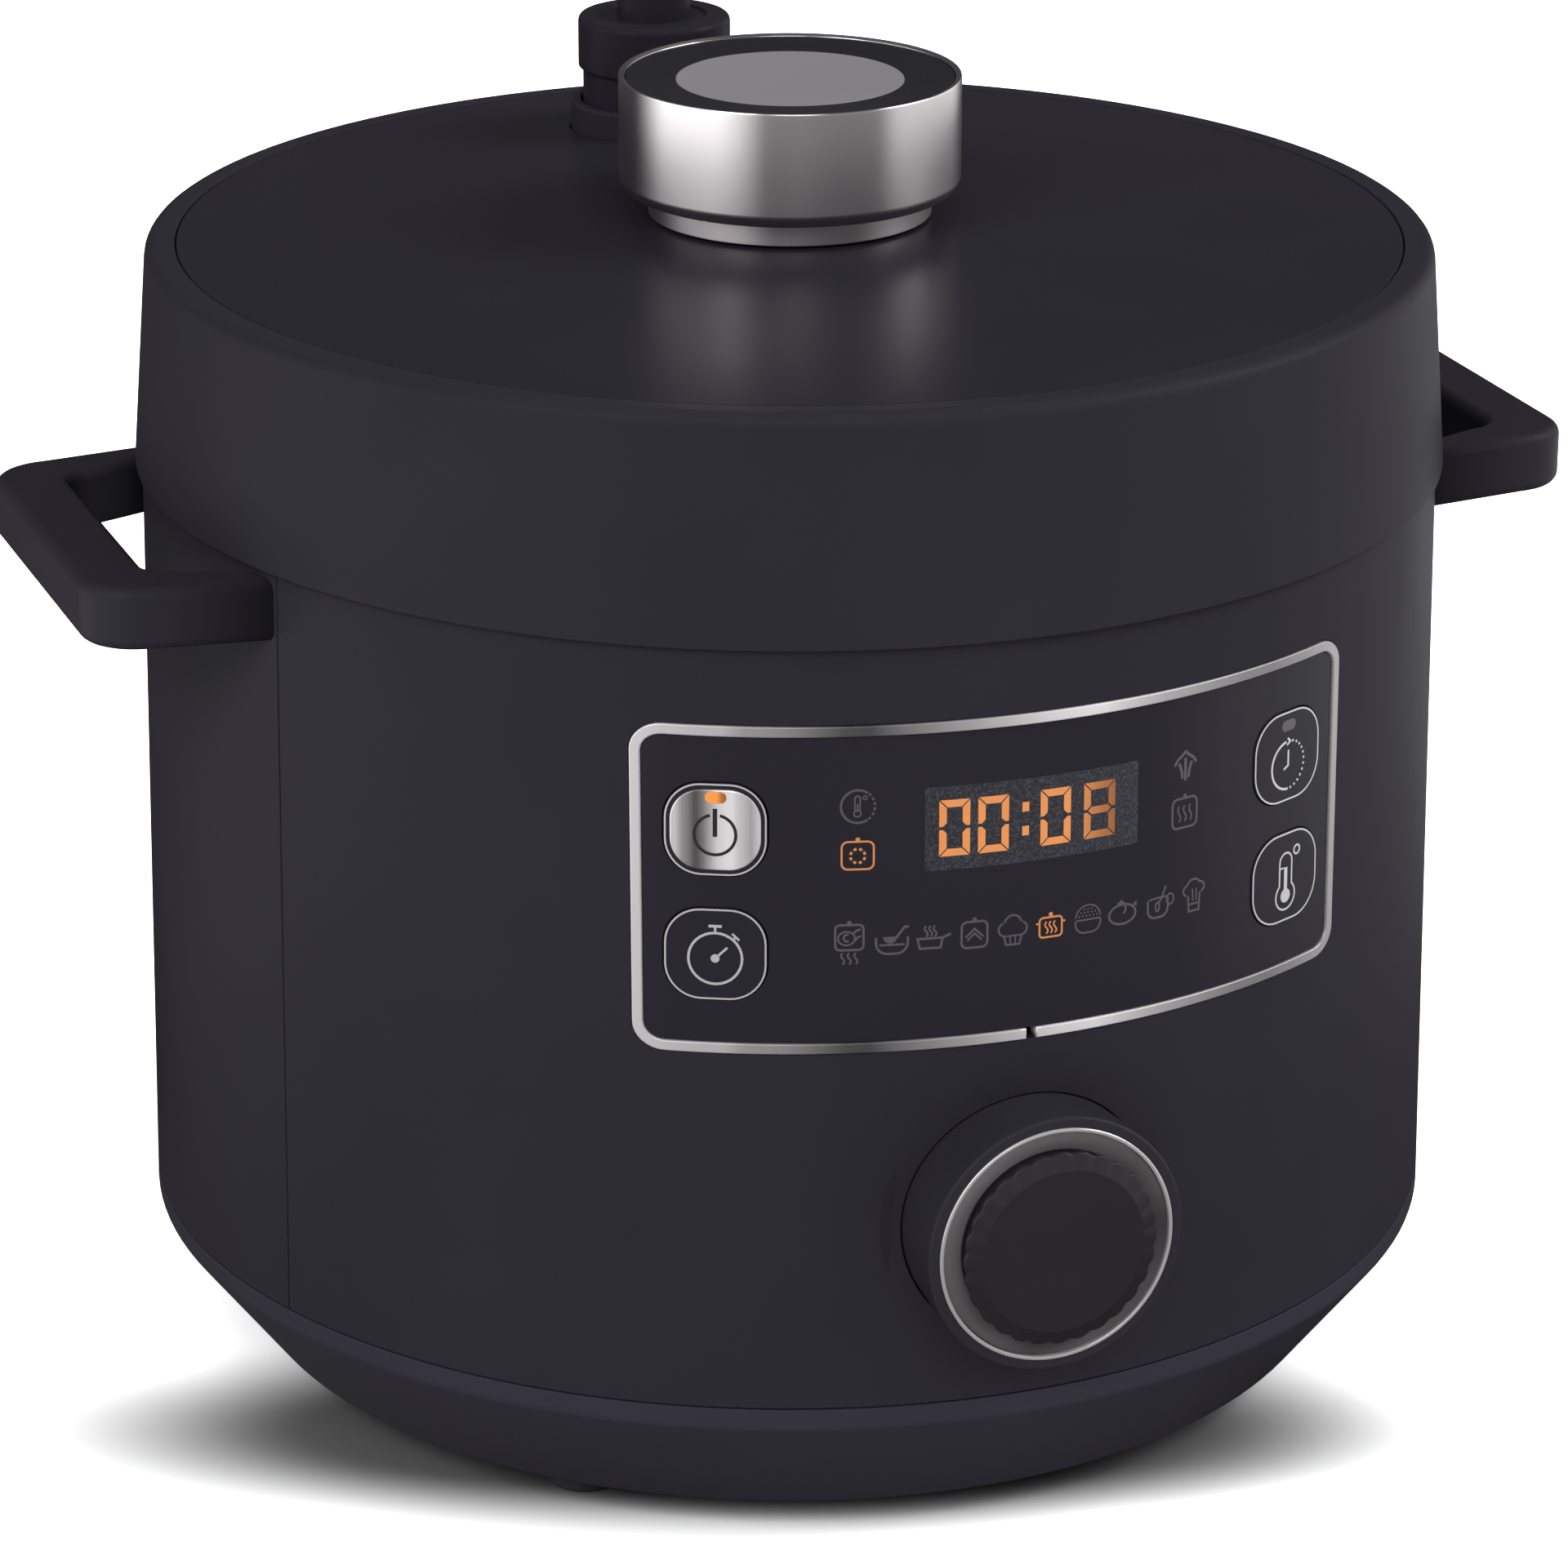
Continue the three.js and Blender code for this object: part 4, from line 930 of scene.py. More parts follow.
def build_filter():
    """The cage round the foot of the steam pipe, a round wall with upright slots."""
    r, bars, low, high = 9, 12, 193, 199.4
    wall = lambda u, v, h: ((r + h) * math.cos(u / r), VALVE_Y + (r + h) * math.sin(u / r), v)
    pitch = 2 * math.pi * r
    parts = []
    for i in range(bars):
        start = pitch * (i + 0.22) / bars
        end = start + pitch * 0.56 / bars
        bar = [(start, low), (end, low), (end, high), (start, high)]
        parts.append(sheet([divided(bar, 1.2)], 0, 1.5, wall, 0.2))
    floor = [(0, 190), (r, 190, 1.2), (10.5, 192, 0.5), (10.5, low), (r, low), (r, 192), (0, 192)]
    collar = [(r, high), (10.5, high), (10.5, 201.8, 0.3), (r, 201.8)]
    parts += [lathe(profile, SMALL, (0, VALVE_Y)) for profile in (floor, collar)]
    finer("steam_filter", "lid", "plain_steel", STEEL, *parts)


def build_bridge():
    """The locking ring with its six lugs and the bar across it."""
    low, high, ring_r, lug_r, window_r, bar_half = 213.5, 216.7, 119, 126.9, 108, 10
    outer = []
    for a in turns(6, -60):
        outer += arc(0, 0, lug_r, a - 13, a + 13, 12) + arc(0, 0, ring_r, a + 14, a + 46, 14)
    bar = math.degrees(math.asin(bar_half / window_r))
    windows = [divided(arc(0, 0, window_r, bar + side, 180 - bar + side, 60), 6) for side in (0, 180)]
    plate = sheet([divided(outer, 5), *windows, circle(0, 0, 6.3)], low, high, on_plan, 0.4, 0.4)
    hub = lathe([(6.3, high), (14, high), (14, 221.4, 0.5), (6.3, 221.4)], SMALL)
    finer("locking_bridge", "knob", "plain_steel", PRESSED, plate, hub)


# ---------------------------------------------------------------- inside the body

def build_spring():
    """The sensor's spring as a coil of wire. The real spring gets shorter as the pot presses the sensor down.
    """
    wire, travel = 0.9, 2.0
    low, high = heights("sensor_spring")
    coil = helix(4, radius("sensor_spring") - wire, wire, low + wire, high - wire)
    spring = finer("sensor_spring", "root", "plain_steel", STEEL, coil)
    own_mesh(spring)


def build_body_inside():
    lugs = [sheet([sector(120.8, 129, a - 90, 14)], 218.5, 221, on_plan, 0.5, 0.5) for a in turns(6)]
    ring = lathe([
        (128.5, 196.3), (131, 196.3, 0.4), (131, 210, 0.8), (143, 210, 0.4), (143, 212.4, 0.4),
        (131, 212.4, 0.8), (131, 221, 0.8), (128.5, 221, 0.6), (128.5, 208.1, 1.2), (115.5, 208.1, 0.6),
        (115.5, 205.6, 0.6), (128.5, 205.6),
    ])
    finer("housing_ring", "root", "plain_steel", STEEL, ring, *lugs)
    finer("heat_shield", "root", "aluminium", PRESSED, lathe([
        (3, 31), (17, 31, 2), (17, 50, 1), (125.2, 50, 4), (125.2, 194.7, 0.6), (130.5, 194.7),
        (130.5, 195.9), (124, 195.9, 0.8), (124, 51.2, 3), (15.8, 51.2, 1.5), (15.8, 32.2, 1.5), (3, 32.2),
    ]))
    rings = []
    for r in range(20, 92, 6):
        rings += [(r, 59.7), (r + 1.6, 59.45), (r + 3.2, 59.45), (r + 4.8, 59.7)]
    finer("heating_plate", "root", "aluminium", CAST, lathe([
        (13, 51.5), (60, 51.5), (60, 53.5), (92, 53.5, 1), (95, 55.5, 1), (95, 57.7, 1), (93, 59.7, 1),
        *rings[::-1], (13, 59.7, 0.5),
    ]))
    finer("temperature_sensor", "sensor", "plain_steel", STEEL, lathe([
        (0, 47), (9, 47, 0.8), (11, 49, 0.8), (11, 59.7, 1.2), (0, 59.7),
    ], SMALL))
    build_spring()
    finer("inner_pot", "pot", "pot_coating", COATING, lathe([
        (0, 60), (112, 60, 14), (112, 208.4, 1.2), (118, 208.4, 0.8), (118, 210.4, 1), (111, 210.4, 1.2),
        (110, 208.9, 0.8), (110, 62.2, 12), (0, 62.2),
    ]))


# ---------------------------------------------------------------- inlet and condensate collector

def build_inlet():
    cavity = rounded_rect(23.6, 16.2, 4, 0, INLET_Z)
    barrel = rounded_rect(27, 19.5, 3, 0, INLET_Z)
    end, bed, flange, front = 126, 134, 149.5, 151.2
    finer("power_inlet", "root", "gloss_black", INLET_BLACK,
          sheet([rounded_rect(33, 26, 4, 0, INLET_Z), cavity], flange, front, on_back, 0.6),
          sheet([barrel, cavity], bed, flange, on_back, 0), sheet([barrel], end, bed, on_back, 0))
    blades = [sheet([rounded_rect(2, 4, 0.6, -x, INLET_Z + dz)], bed, 149, on_back, 0.5)
              for x, dz in ((-7, -1.5), (7, -1.5), (0, 2.5))]
    piece("inlet_pins", "root", "gloss_black", BRASS, *blades)


def build_collector():
    middle, depth = (COLLECTOR_Y + DIAL_REACH) / 2, DIAL_REACH - COLLECTOR_Y
    loop = rounded_rect(52, depth, 5, 0, middle)
    cavity = moved(sided(loop, True), 1.8)
    low, floor, high = 150, 151.8, 196
    cup = [sheet([loop, cavity], floor, high, on_plan, 0.7), sheet([loop], low, floor, on_plan, 0, 1.2)]
    pegs = [sheet([circle(x, PEG_Z, 3, 32)], 143.4, COLLECTOR_Y, on_back, 0.6) for x in PEGS]
    finer("condensate_collector", "collector", "smoke_plastic", SMOKE, *cup, *pegs)


# ---------------------------------------------------------------- dial

def build_dial():
    finer("dial_knob", "dial", "charcoal_plastic", DIAL_SIDE, lathe([
        (0, -8.6), (3, -8.6), (3, 0), (7, 0), (7, 14.6), (26.4, 14.6), (26.4, 0), (DIAL_BASE_R, 0, 1.2),
        (29, 18), (29, 19.6, 2.2), (26.7, 19.6, 0.15), (26.7, 18.2), (25.5, 18.2), (25.5, 17), (0, 17),
    ], MEDIUM, turn=dial_turn))
    piece("dial_band", "dial", "charcoal_plastic", DIAL_BAND, lathe([
        (20.9, 17), (25.6, 17), (25.6, 18.9, 0.1), (21.2, 17.6, 0.2), (20.9, 17.4),
    ], MEDIUM, turn=dial_turn))
    finer("dial_trim_ring", "dial", "bright_trim", CHROME, lathe([
        (25.7, 18.2), (26.6, 18.2), (26.6, 19.9, 0.4), (25.7, 19.9, 0.4),
    ], ROUND, turn=dial_turn))
    front = DIAL_REACH - DIAL_BACK
    deep = lambda z: min(1.0, max(0.0, z - 18.6) / 2, (front - z) / 1.4)
    flute = lambda a, z: FLUTE_DEPTH * math.sin(FLUTES / 2 * a) ** 4 * deep(z)
    grip = lathe([
        (0, 17.3), (GRIP_R, 17.3), (GRIP_R, 18.6, 0.6), (RIM_GRIP_R, 21, 0.5), (RIM_GRIP_R, front - 1.4, 0.4),
        (18.4, front, 0.5), (0, front),
    ], 10 * FLUTES, turn=dial_turn, flute=flute)
    finer("dial_grip", "dial", "gloss_black", DIAL_DARK, grip)


# ---------------------------------------------------------------- strokes for the panel's print

def ribbon(points, width, closed=False):
    """Outline of a stroke of even width along points: one loop, or an outer and an inner one."""
    half = width / 2
    if closed:
        loop = sided(points, True)
        return [moved(loop, -half), moved(loop, half)]
    ahead = points[1:] + [tuple(2 * b - a for a, b in zip(points[-2], points[-1]))]
    before = [tuple(2 * a - b for a, b in zip(points[0], points[1]))] + points[:-1]
    left, right = [], []
    for a, (x, y), b in zip(before, points, ahead):
        nx, ny = mitre(a, (x, y), b, 0.4)
        left.append((x + nx * half, y + ny * half))
        right.append((x - nx * half, y - ny * half))
    return [left + right[::-1]]


def line(*points, width=0.45):
    return ribbon(list(points), width)


def hoop(cx, cy, r, width=0.45):
    return ribbon(circle(cx, cy, r, 32), width, True)


def bow(cx, cy, r, start, end, width=0.45, steps=12):
    return ribbon(arc(cx, cy, r, start, end, steps), width)


def dot(cx, cy, r):
    return [circle(cx, cy, r, 20)]


def dashes(cx, cy, r, start, end, count, width=0.45):
    """Short strokes round an arc."""
    step = (end - start) / count
    return [bow(cx, cy, r, start + step * (i + 0.2), start + step * (i + 0.75), width, 3)
            for i in range(count)]


def frame_box(width, height, corner, cx=0.0, cy=0.0, stroke=0.45):
    return ribbon(rounded_rect(width, height, corner, cx, cy, 5), stroke, True)


def curl(x, low, high, swing=0.35, width=0.4):
    """A rising squiggle of steam."""
    steps = 12
    return ribbon([(x + swing * math.sin(2 * math.pi * i / steps), low + (high - low) * i / steps)
                   for i in range(steps + 1)], width)


def on_panel(angle, z):
    """Places a patch of the body's side, at an angle from the front and a height."""
    return lambda u, v, h: on_skin(skin_u(angle) + u, z + v, h)


def ink(name, body, slot, finish, marks, face, angle, z, proud=0.05):
    """Marks as thin solids that stand a little proud of a face of the panel."""
    place = on_panel(angle, z)
    parts = [sheet(loops, face - 0.02, face + proud, place, 0.02, steps=1) for loops in marks]
    return piece(name, body, slot, finish, *parts)


# ---------------------------------------------------------------- control panel

# How far the panel's face, the keys and the power key's cap stand off the body's side.
FACE_H = -0.1
KEY_H = 0.2
CAP_H = KEY_H + 0.35


def build_frame():
    outer = wrapped(divided(panel_outline(0), 3))
    inner = wrapped(divided(panel_outline(FRAME_W, FRAME_MORE), 3))
    low = PANEL_Z[0] + FRAME_W + FRAME_MORE
    bottom = lambda loop, z: [p for p in loop if not (abs(p[0]) < NOTCH and p[1] < z)]
    start = lambda loop: next(i for i in range(len(loop)) if loop[i][1] < low + 1 and loop[i][0] >= NOTCH
                              and loop[i - 1][0] < NOTCH and loop[i - 1][1] < low + 1)
    outer, inner = sided(bottom(outer, low), True), sided(bottom(inner, low + 1), True)
    a, b = start(outer), start(inner)
    outer, inner = outer[a:] + outer[:a], inner[b:] + inner[:b]
    cut = lambda loop, z: [(NOTCH, z)] + loop + [(-NOTCH, z)]
    loop = cut(outer, PANEL_Z[0]) + cut(inner, low)[::-1]
    finer("panel_frame", "root", "bright_trim", FRAME_SILVER, sheet([loop], -3.2, 0.4, on_skin, 0.35))


def key_outline(grow, z=0.0):
    return rounded_rect(KEY_SIZE[0] + 2 * grow, KEY_SIZE[1] + 2 * grow, KEY_CORNER + grow, 0, z, 10)


KEY_ANGLE = 26.3
KEY_ROWS = (173.7, 146.0)
KEYS = {  # each key's body, its angle from the front and its height
    "power": ("power_button", -KEY_ANGLE, KEY_ROWS[0]),
    "timer": ("timer_button", -KEY_ANGLE, KEY_ROWS[1]),
    "delay": ("delay_button", KEY_ANGLE, KEY_ROWS[0]),
    "temperature": ("temperature_button", KEY_ANGLE, KEY_ROWS[1]),
}


def build_face():
    holes = [wrapped(key_outline(0.15, z), angle) for _, angle, z in KEYS.values()]
    outline = wrapped(divided(panel_outline(FRAME_W + 0.12, FRAME_MORE), 3))
    finer("panel_face", "root", "gloss_black", GLOSS,
          sheet([outline] + holes, -2.8, FACE_H, on_skin, 0.15, grid=(4, 9)))
    window = rounded_rect(49, 18.5, 0.6, 0.5, DISPLAY_Z)
    piece("display_window", "root", "gloss_black", DISPLAY,
          sheet([divided(window, 2)], FACE_H - 0.02, FACE_H + 0.03, on_skin, 0.01, grid=(2, 9), steps=1))


def key_mark(name, key, slot, finish, marks, proud=0.06, face=KEY_H):
    body, angle, z = KEYS[key]
    return ink(name, body, slot, finish, marks, face, angle, z, proud)


def build_keys():
    for key, (body, angle, z) in KEYS.items():
        solid = sheet([key_outline(0)], -8, KEY_H, on_panel(angle, z), 0.12)
        finer(f"{key}_key", body, "gloss_black", KEY_GLOSS, solid)
        key_mark(f"{key}_key_rim", key, "bright_trim", PRINT_SILVER, [ribbon(key_outline(-0.35), 0.38, True)])
    cap = rounded_rect(19.3, 17.7, 6.8, 0, 0, 10)
    body, angle, z = KEYS["power"]
    solid = sheet([cap], KEY_H - 0.3, CAP_H, on_panel(angle, z), 0.35)
    piece("power_key_cap", body, "bright_trim", POWER_CAP, solid)
    build_key_marks()


def build_key_marks():
    lamp = [[rounded_rect(4.5, 2.4, 1.15, 0.15, 7.2)]]
    key_mark("power_lamp", "power", "bright_trim", LAMP_ORANGE, lamp, 0.1, CAP_H)
    power = [bow(0, -1.0, 4.4, 104, 436, 0.65, 32), line((0, -1.4), (0, 4.75), width=0.95)]
    key_mark("power_symbol", "power", "bright_trim", PRINT_DARK, power, 0.05, CAP_H)
    timer = [hoop(0, -0.9, 5.7, 0.55), line((-1.4, 6.3), (1.4, 6.3), width=0.6),
             line((0, 4.9), (0, 6.1), width=0.5), line((3.75, 3.35), (4.3, 3.95), width=0.45),
             line((3.6, 4.75), (5.1, 3.3), width=0.5), dot(0, -0.9, 0.95),
             line((0.3, -0.6), (2.6, 1.6), width=0.5)]
    key_mark("timer_symbol", "timer", "bright_trim", PRINT_SILVER, timer)
    delay = [bow(0, -2.0, 5.4, 98, 270, 0.55, 24), line((0, 1.4), (0, -2.1), (-1.5, -2.8), width=0.5)]
    delay += [dot(5.4 * math.sin(math.radians(a)), -2 + 5.4 * math.cos(math.radians(a)), 0.3)
              for a in range(16, 180, 14)]
    delay.append(line((-0.5, 2.6), (0.6, 3.3), (-0.3, 4.1), width=0.5))
    key_mark("delay_symbol", "delay", "bright_trim", PRINT_SILVER, delay)
    key_mark("delay_lamp", "delay", "gloss_black", LAMP_GREY, [[rounded_rect(4.6, 2.5, 1.2, 0, 7.0)]])
    neck, foot = 5.6, -2.9
    tube = arc(0, neck - 2.15, 2.05, 0, 180, 12) + arc(0, foot - 1.4, 3.2, 130, 410, 24)
    warm = [ribbon(tube, 0.45, True), line((0, 2.2), (0, -3), width=1.1), dot(0, -4.3, 1.6),
            line((-1.9, 2.2), (-0.6, 2.2), width=0.35), hoop(3.7, 5.4, 1.0, 0.45)]
    key_mark("temperature_symbol", "temperature", "bright_trim", PRINT_SILVER, warm)


# ---------------------------------------------------------------- display digits and symbols

def digit(segments, cx, w):
    """A digit of seven segments and half width w: a to f clockwise from the top, and g in the middle."""
    h, half, gap, waist = 5.4, 0.82, 0.18, 0.35

    def bar(side):
        return [(x, side * y) for x, y in ((-w - half + gap, h + half), (w + half - gap, h + half),
                                           (w - half - gap, h - half), (-w + half + gap, h - half))]

    def post(side, end):
        return [(side * x, end * y) for x, y in ((w + half, h + half - gap), (w + half, waist), (w, waist),
                                                 (w - half, waist + half), (w - half, h - half - gap))]

    middle = [(-w + gap, 0), (-w + half + gap, half), (w - half - gap, half), (w - gap, 0),
              (w - half - gap, -half), (-w + half + gap, -half)]
    shapes = {"a": bar(1), "b": post(1, 1), "c": post(1, -1), "d": bar(-1), "e": post(-1, -1),
              "f": post(-1, 1), "g": middle}
    return [[shifted(shapes[name], cx, 0)] for name in segments]


# Each digit's place across the display, half width and lit segments.
DIGITS = ((-17.55, 2.55, "abcdef"), (-9.0, 2.6, "abcdef"), (5.1, 2.7, "abcdef"), (15.5, 2.95, "abcdefg"))


def build_digits():
    marks = []
    for cx, w, segments in DIGITS:
        marks += digit(segments, cx, w)
    marks += [[rounded_rect(1.55, 2.1, 0.1, -1.8, 0.35 + y)] for y in (2.65, -2.65)]
    ink("display_digits", "root", "gloss_black", LIT_DIGITS, marks, FACE_H + 0.03, 0, DISPLAY_Z, 0.04)


def pot_mark(width, height, corner=1.1, y=0.0, stroke=0.5):
    """A pot seen from the front, with the knob of its lid."""
    top = y + height / 2
    return [frame_box(width, height, corner, 0, y, stroke), dot(0, top + 0.45, 0.5)]


def steam(count, low, high, gap=1.2, x=0.0, width=0.4):
    return [curl(x + (i - (count - 1) / 2) * gap, low, high, width=width) for i in range(count)]


def oval(cx, cy, across, down, width=0.4):
    """A closed oval stroke."""
    return ribbon([(cx + across * x, cy + down * y) for x, y in circle(0, 0, 1, 32)], width, True)


def bowl(half, top, bottom, width=0.5):
    """A deep bowl's outline, open above."""
    r = half * 0.72
    side = arc(-half + r, bottom + r, r, 180, 270, 8) + arc(half - r, bottom + r, r, 270, 360, 8)
    return ribbon([(-half, top)] + side + [(half, top)], width)


def marks_grey():
    """Unlit symbols: their angle from the front, height and strokes."""
    thermo = [bow(0, 0, 3.6, 55, 305, 0.5, 24), *dashes(0, 0, 3.6, -55, 55, 6, 0.5),
              ribbon([(-0.65, -0.9), (-0.65, 1.9), (-0.3, 2.3), (0.1, 2.3), (0.45, 1.9), (0.45, -0.9)], 0.35),
              oval(-0.1, -1.5, 0.75, 0.75, 0.35), line((-0.1, -1.2), (-0.1, 0.6), width=0.4),
              hoop(1.5, 1.9, 0.4, 0.3)]
    head = [(-2.9, 0.1), (-2.1, 1.3), (-0.9, 2.1), (0, 2.9), (0.9, 2.1), (2.1, 1.3), (2.9, 0.1)]
    arrow = [line(*head, width=0.65), line((-1.7, 0.5), (-1.1, -1.0), (-0.75, -3.0), width=0.7),
             line((0, 1.5), (0, -3.6), width=0.75), line((1.7, 0.5), (1.1, -1.0), (0.75, -3.0), width=0.7)]
    steamer = pot_mark(6.6, 6.6, 1.3) + steam(3, -1.9, 1.7, 1.5)
    tray = pot_mark(6.0, 5.6, 1, 1.1) + [oval(-0.6, 0.9, 1.8, 1.5), bow(-0.4, 1.0, 0.8, 70, 290)]
    tray += [line((0.8, 1.9), (1.5, 2.6), (2.4, 2.9)), line((1.1, 0.3), (1.9, 1.2), (2.5, 1.4))]
    tray += steam(3, -4.9, -2.3, 1.4)
    ladle = [bowl(3.4, 0.8, -2.9), line((-2.7, -0.9), (2.7, -0.9)), [arc(-0.4, 0.9, 1.5, 180, 360, 10)],
             line((0.9, 0.7), (1.7, 1.7), (2.7, 3.0), (3.6, 3.0), width=0.55)]
    pan = [ribbon([(-3.6, 0.0), (1.8, 0.0), (1.4, -2.2), (-3.1, -2.2)][::-1], 0.5, True),
           line((1.8, 0.0), (3.6, 0.7), width=0.55)] + steam(3, 0.4, 2.8, 0.95, -0.8)
    chevrons = pot_mark(5.7, 5.8, 1.2) + [line((-2.0, -0.6), (0, 1.3), (2.0, -0.6)),
                                          line((-1.6, -1.3), (0, 0.3), (1.6, -1.3))]
    muffin = [line((-2.0, -1.2), (-1.5, -3.2), (1.5, -3.2), (2.0, -1.2)),
              line((-0.6, -1.3), (-0.5, -3.1), width=0.35), line((0.6, -1.3), (0.5, -3.1), width=0.35),
              bow(-1.7, 0.3, 1.5, 110, 270), bow(1.7, 0.3, 1.5, -90, 70), bow(0, 1.5, 1.9, 10, 170),
              line((-1.7, -1.2), (1.7, -1.2), width=0.35)]
    rice = [bow(0, 0.2, 3.0, 5, 175, 0.35, 20), bowl(3.0, -0.2, -3.0, 0.4),
            line((-2.9, -0.1), (2.9, -0.1), width=0.4)]
    rice += [dot(0.85 * (i - (n - 1) / 2), 0.8 + 0.75 * k, 0.22)
             for k, n in enumerate((6, 5, 3)) for i in range(n)]
    roast = [oval(0, -0.4, 3.3, 2.2, 0.5), bow(-0.6, 0.8, 1.4, -50, 120),
             line((-1.3, 1.5), (-0.3, 2.6), (0.4, 2.0)), line((2.4, 1.0), (3.3, 1.7), (3.4, 1.0))]
    cup = [bowl(2.6, 1.2, -2.9), line((-2.4, 1.3), (-0.9, 1.5), (2.3, 1.5), width=0.4),
           oval(3.2, 0.7, 0.9, 1.2), line((0.2, 0.3), (1.0, 1.5), (2.0, 3.9)),
           oval(-0.1, -0.5, 0.5, 1.0, 0.4)]
    hat = [line((-1.5, 0.2), (-1.3, -3.4), (1.5, -3.4), (1.7, 0.5)),
           line((-1.3, -1.8), (1.6, -1.8), width=0.4), bow(-1.6, 1.4, 1.2, 90, 250),
           bow(1.7, 1.7, 1.2, -70, 90), bow(0, 1.9, 1.9, 25, 160),
           line((-0.3, 1.6), (-0.2, -1.2), width=0.35), line((0.7, 1.6), (0.7, -1.2), width=0.35)]
    row = SYMBOL_ROW
    return [("thermometer", -14.75, 178.8, thermo), ("pressure_arrow", 14.4, 178.9, arrow),
            ("steamer", 14.4, 168.1, steamer), ("tray", -15.4, row, tray), ("ladle", -11.9, row, ladle),
            ("pan", -8.4, row, pan), ("reheat", -5.0, row, chevrons), ("muffin", -1.7, row, muffin),
            ("rice", 5.05, row, rice), ("roast", 8.3, row, roast), ("cup", 11.8, row, cup),
            ("hat", 15.5, row, hat)]


def marks_lit():
    cooking = pot_mark(6.8, 6.1, 1.3, stroke=0.42) + dashes(0, -0.1, 1.55, 0, 360, 8, 0.55)
    simmer = [frame_box(5.2, 4.4, 0.8, 0, -0.4, 0.42), line((-3.4, 0.6), (-2.7, 0.6), width=0.4),
              dot(0, 2.45, 0.5), line((2.7, 0.6), (3.4, 0.6), width=0.4)]
    simmer += steam(3, -1.8, 0.9, 1.0, width=0.35)
    return [("cooking", -14.75, 168.0, cooking), ("simmer", 1.65, SYMBOL_ROW, simmer)]


def build_marks():
    for name, angle, z, marks in marks_grey():
        ink(f"symbol_{name}", "root", "gloss_black", PRINT_GREY, marks, FACE_H, angle, z)
    for name, angle, z, marks in marks_lit():
        ink(f"symbol_{name}", "root", "gloss_black", LIT_ORANGE, marks, FACE_H, angle, z)


# ---------------------------------------------------------------- the CAD pieces that stay

def finish_cad():
    screws = [f"handle_screw_{i + 1}" for i in range(4)]
    boards = ["power_board", "key_board_left", "key_board_right"]
    for finish, names in ((PRESSED, screws + ["encoder_body"]), (BOARD, boards), (STEEL, ["knob_spindle"]),
                          (INLET_BLACK, ["display_module"]), (SILICONE, ["dial_plunger"])):
        for name in names:
            for mesh_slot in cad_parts[name].material_slots:
                mesh_slot.material = finish


# ---------------------------------------------------------------- studio and camera

# Levels where 1 is white: the light from above and from the horizon, what mirrors see, and the floor.
DOME_HIGH = 0.85
DOME_LOW = 0.12
MIRROR_LEFT = 2.2
MIRROR_RIGHT = 1.1
MIRROR_FRONT = 0.33
MIRROR_BACK = 0.06
MIRROR_TOP = 0.1
FLOOR_LIT = 0.85
FLOOR_SEEN = 2.16
FLOOR_SHADOW = 0.14
FLOOR_HALF = 9  # metres
# The soft dark pool under the object, an ellipse on the floor.
SHADOW_PLACE = (-0.0334, -0.0677, 0)
SHADOW_TURN = -20.4
SHADOW_SIZE = (0.2026, 0.0588, 1)
SHADOW_INNER = 0.49
# What the camera looks at and how far it stands, in metres.
AIM_HEIGHT = 0.1314
CAMERA_DISTANCE = 1.4066


def heading(azimuth, height):
    """The way to a place at an angle round from the front and an angle up, in degrees."""
    turn, tilt = math.radians(azimuth), math.radians(height)
    return Vector((math.sin(turn) * math.cos(tilt), -math.cos(turn) * math.cos(tilt), math.sin(tilt)))


def ray_kinds(tree):
    """Whether a ray comes from the camera, and whether it comes from a mirror or through a clear piece."""
    path = add(tree, "LightPath").node.outputs
    return path["Is Camera Ray"], most(tree, path["Is Glossy Ray"], path["Is Transmission Ray"])


def mirrored_level(tree, direction):
    """What glossy surfaces see in a level direction: bright walls at the sides, dim in front, dark behind."""
    parts = split(tree, direction)
    x, y = parts["X"], parts["Y"]
    left = ranged(tree, x, 0, MIRROR_LEFT, -0.55, -0.95)
    right = ranged(tree, x, 0, MIRROR_RIGHT, 0.58, 0.82)
    walls = times(tree, most(tree, left, right), ranged(tree, y, 1, 0, 0.45, 0.9))
    return most(tree, walls, ranged(tree, y, MIRROR_FRONT, MIRROR_BACK, -0.6, 0.3))


def build_world():
    """White behind the object, over an even light that is strongest above."""
    world = bpy.data.worlds.new("studio")
    world.use_nodes = True
    bpy.context.scene.world = world
    tree = world.node_tree
    from_camera, mirrored = ray_kinds(tree)
    direction = add(tree, "TexCoord", output="Generated")
    rise = split(tree, direction)["Z"]
    walls = chosen(tree, ranged(tree, rise, 0, 1), mirrored_level(tree, direction), MIRROR_TOP)
    level = chosen(tree, mirrored, ranged(tree, rise, DOME_LOW, DOME_HIGH, 0.0, 1.0), walls)
    feed(tree, tree.nodes["Background"].inputs["Color"], chosen(tree, from_camera, level, 1.0))


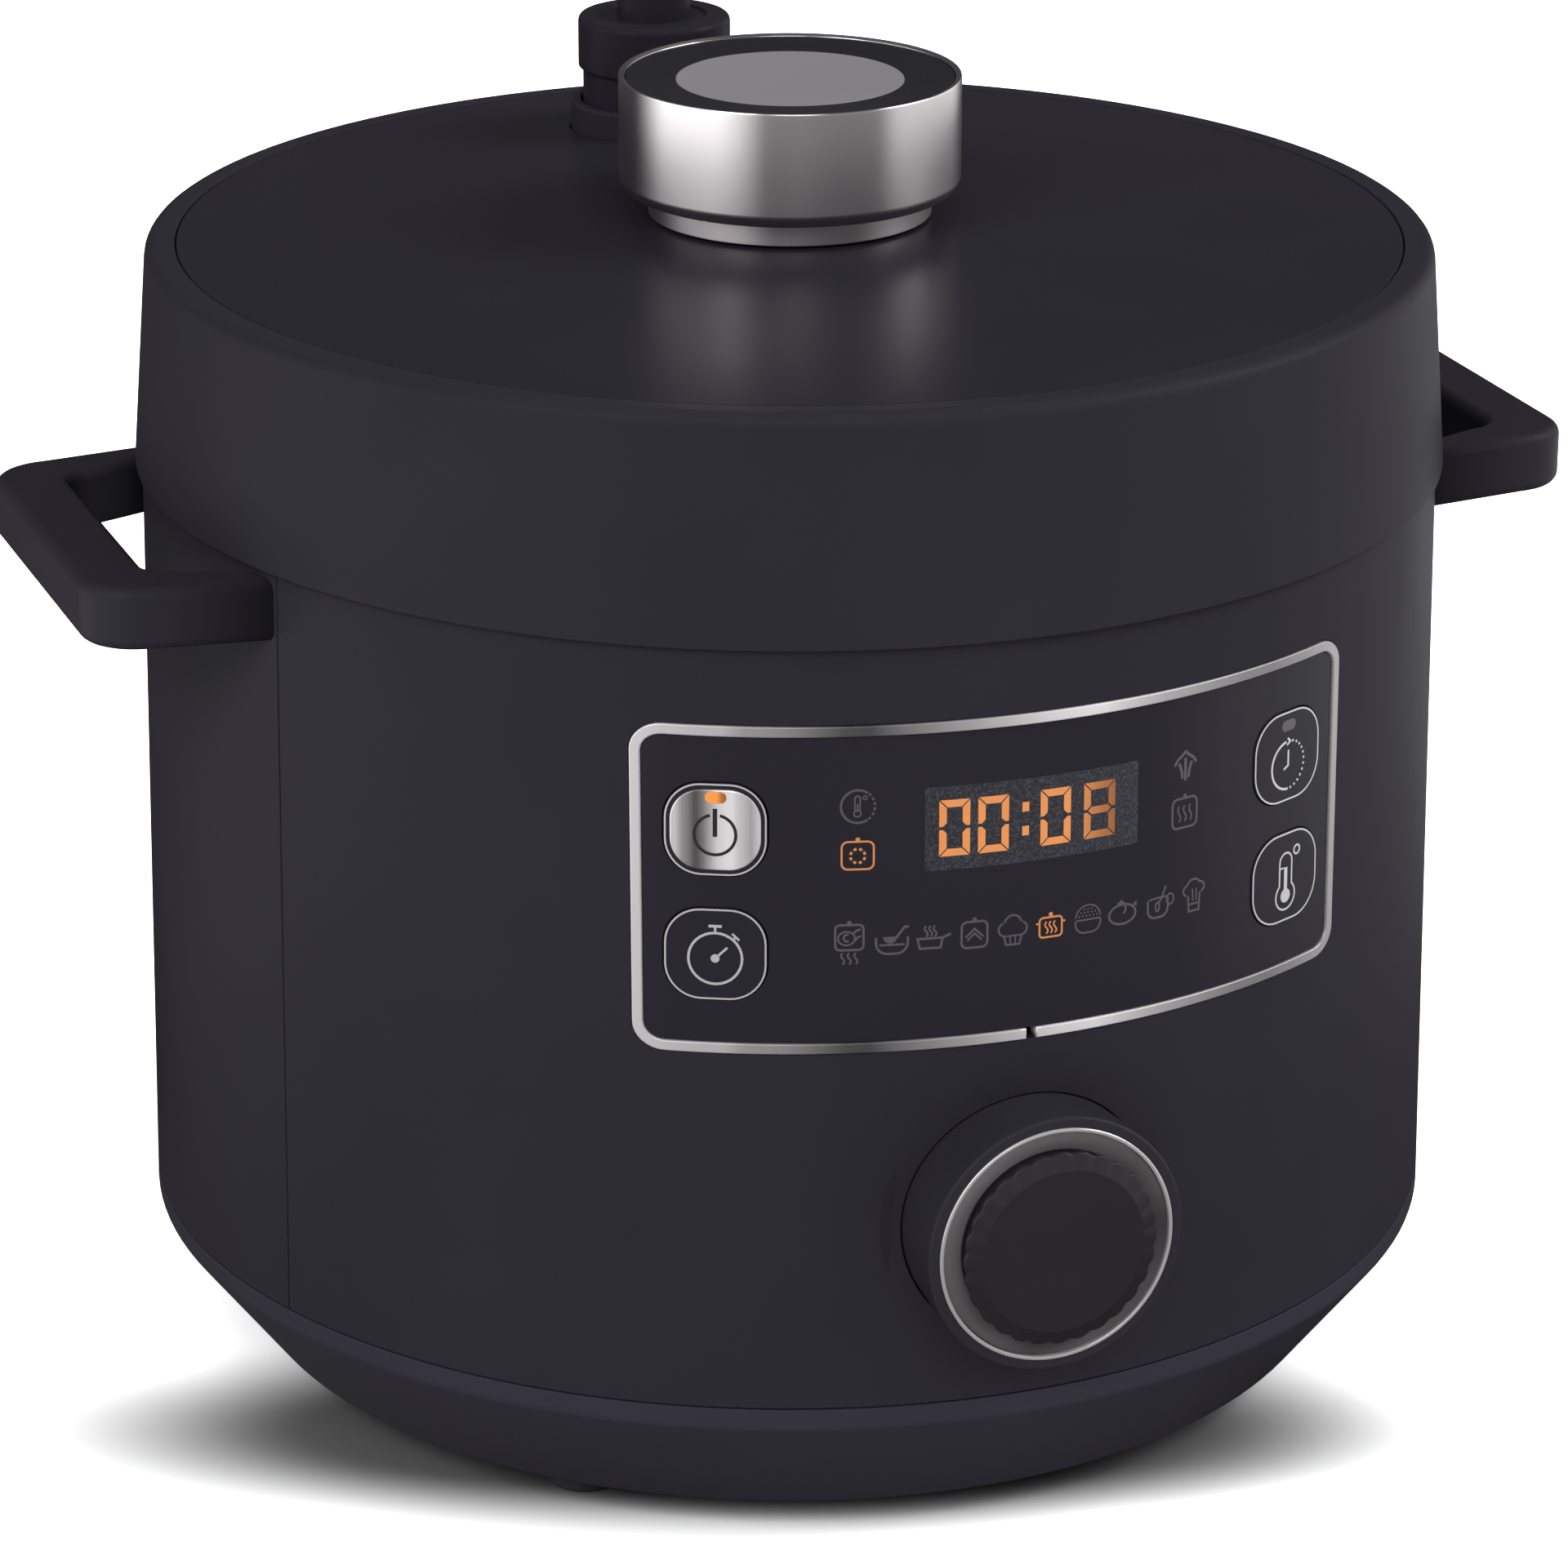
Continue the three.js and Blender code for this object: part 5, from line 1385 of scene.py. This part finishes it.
def build_floor():
    """A pale floor with a painted pool of shadow, which mirrors see as a continuation of the walls."""
    corners = [(x * FLOOR_HALF, y * FLOOR_HALF, 0) for x, y in ((-1, -1), (1, -1), (1, 1), (-1, 1))]
    mesh = bpy.data.meshes.new("floor")
    mesh.from_pydata(corners, [], [(0, 1, 2, 3)])
    floor = bpy.data.objects.new("floor", mesh)
    bpy.context.scene.collection.objects.link(floor)
    material, tree, shader = new_material("floor")
    from_camera, mirrored = ray_kinds(tree)
    coords = own_place(tree)
    pool = add(tree, "Mapping", {"Location": SHADOW_PLACE, "Rotation": (0, 0, math.radians(SHADOW_TURN)),
                                 "Scale": SHADOW_SIZE, "Vector": coords}, vector_type="TEXTURE")
    fade = ranged(tree, length(tree, pool), FLOOR_SHADOW, FLOOR_SEEN, SHADOW_INNER, 1.0,
                  interpolation_type="SMOOTHSTEP")
    seen = chosen(tree, from_camera, FLOOR_LIT, fade)
    away = add(tree, "VectorMath", {0: coords}, operation="NORMALIZE")
    glow = times(tree, mirrored, ranged(tree, length(tree, coords), 0.05, 1, 0.3, 0.6))
    fill(tree, shader, Base_Color=chosen(tree, mirrored, seen, 0.0), Emission_Strength=glow,
         Emission_Color=mirrored_level(tree, away), Roughness=0.9, Specular_IOR_Level=0.0)
    mesh.materials.append(material)


# Each light's name, angle round from the front, angle up and strength.
LIGHTS = (("left_light", -62, 35, 1.15), ("right_light", 74, 35, 1.8), ("front_light", -16, 38, 0.75))
LIGHT_SPREAD = math.radians(30)


def build_lights():
    """A broad light on each side and a weaker one in front."""
    for name, azimuth, height, energy in LIGHTS:
        light = bpy.data.lights.new(name, "SUN")
        light.energy = energy
        light.angle = LIGHT_SPREAD
        obj = bpy.data.objects.new(name, light)
        obj.location = heading(azimuth, height)
        bpy.context.scene.collection.objects.link(obj)
        obj.rotation_euler = obj.location.to_track_quat("Z", "Y").to_euler()


def build_camera():
    """A long lens at the photograph's angle, with the photograph's slight roll."""
    away = heading(-20.4, 20.338)
    roll = Quaternion((0, 0, 1), math.radians(0.155))
    camera = bpy.data.cameras.new("camera")
    camera.sensor_width = 36
    camera.lens = 139.1
    camera.shift_x = -0.0027
    obj = bpy.data.objects.new("camera", camera)
    obj.location = Vector((0, 0, AIM_HEIGHT)) + away * CAMERA_DISTANCE
    bpy.context.scene.collection.objects.link(obj)
    obj.rotation_euler = ((-away).to_track_quat("-Z", "Y") @ roll).to_euler()
    bpy.context.scene.camera = obj


build_base()
build_bottom()
build_fascia()
build_rear()
build_handles()
build_lid()
build_knob()
build_lid_inside()
build_body_inside()
build_inlet()
build_collector()
build_dial()
build_frame()
build_face()
build_keys()
build_digits()
build_marks()
finish_cad()
build_world()
build_floor()
build_lights()
build_camera()
bpy.context.scene.view_settings.view_transform = "Standard"
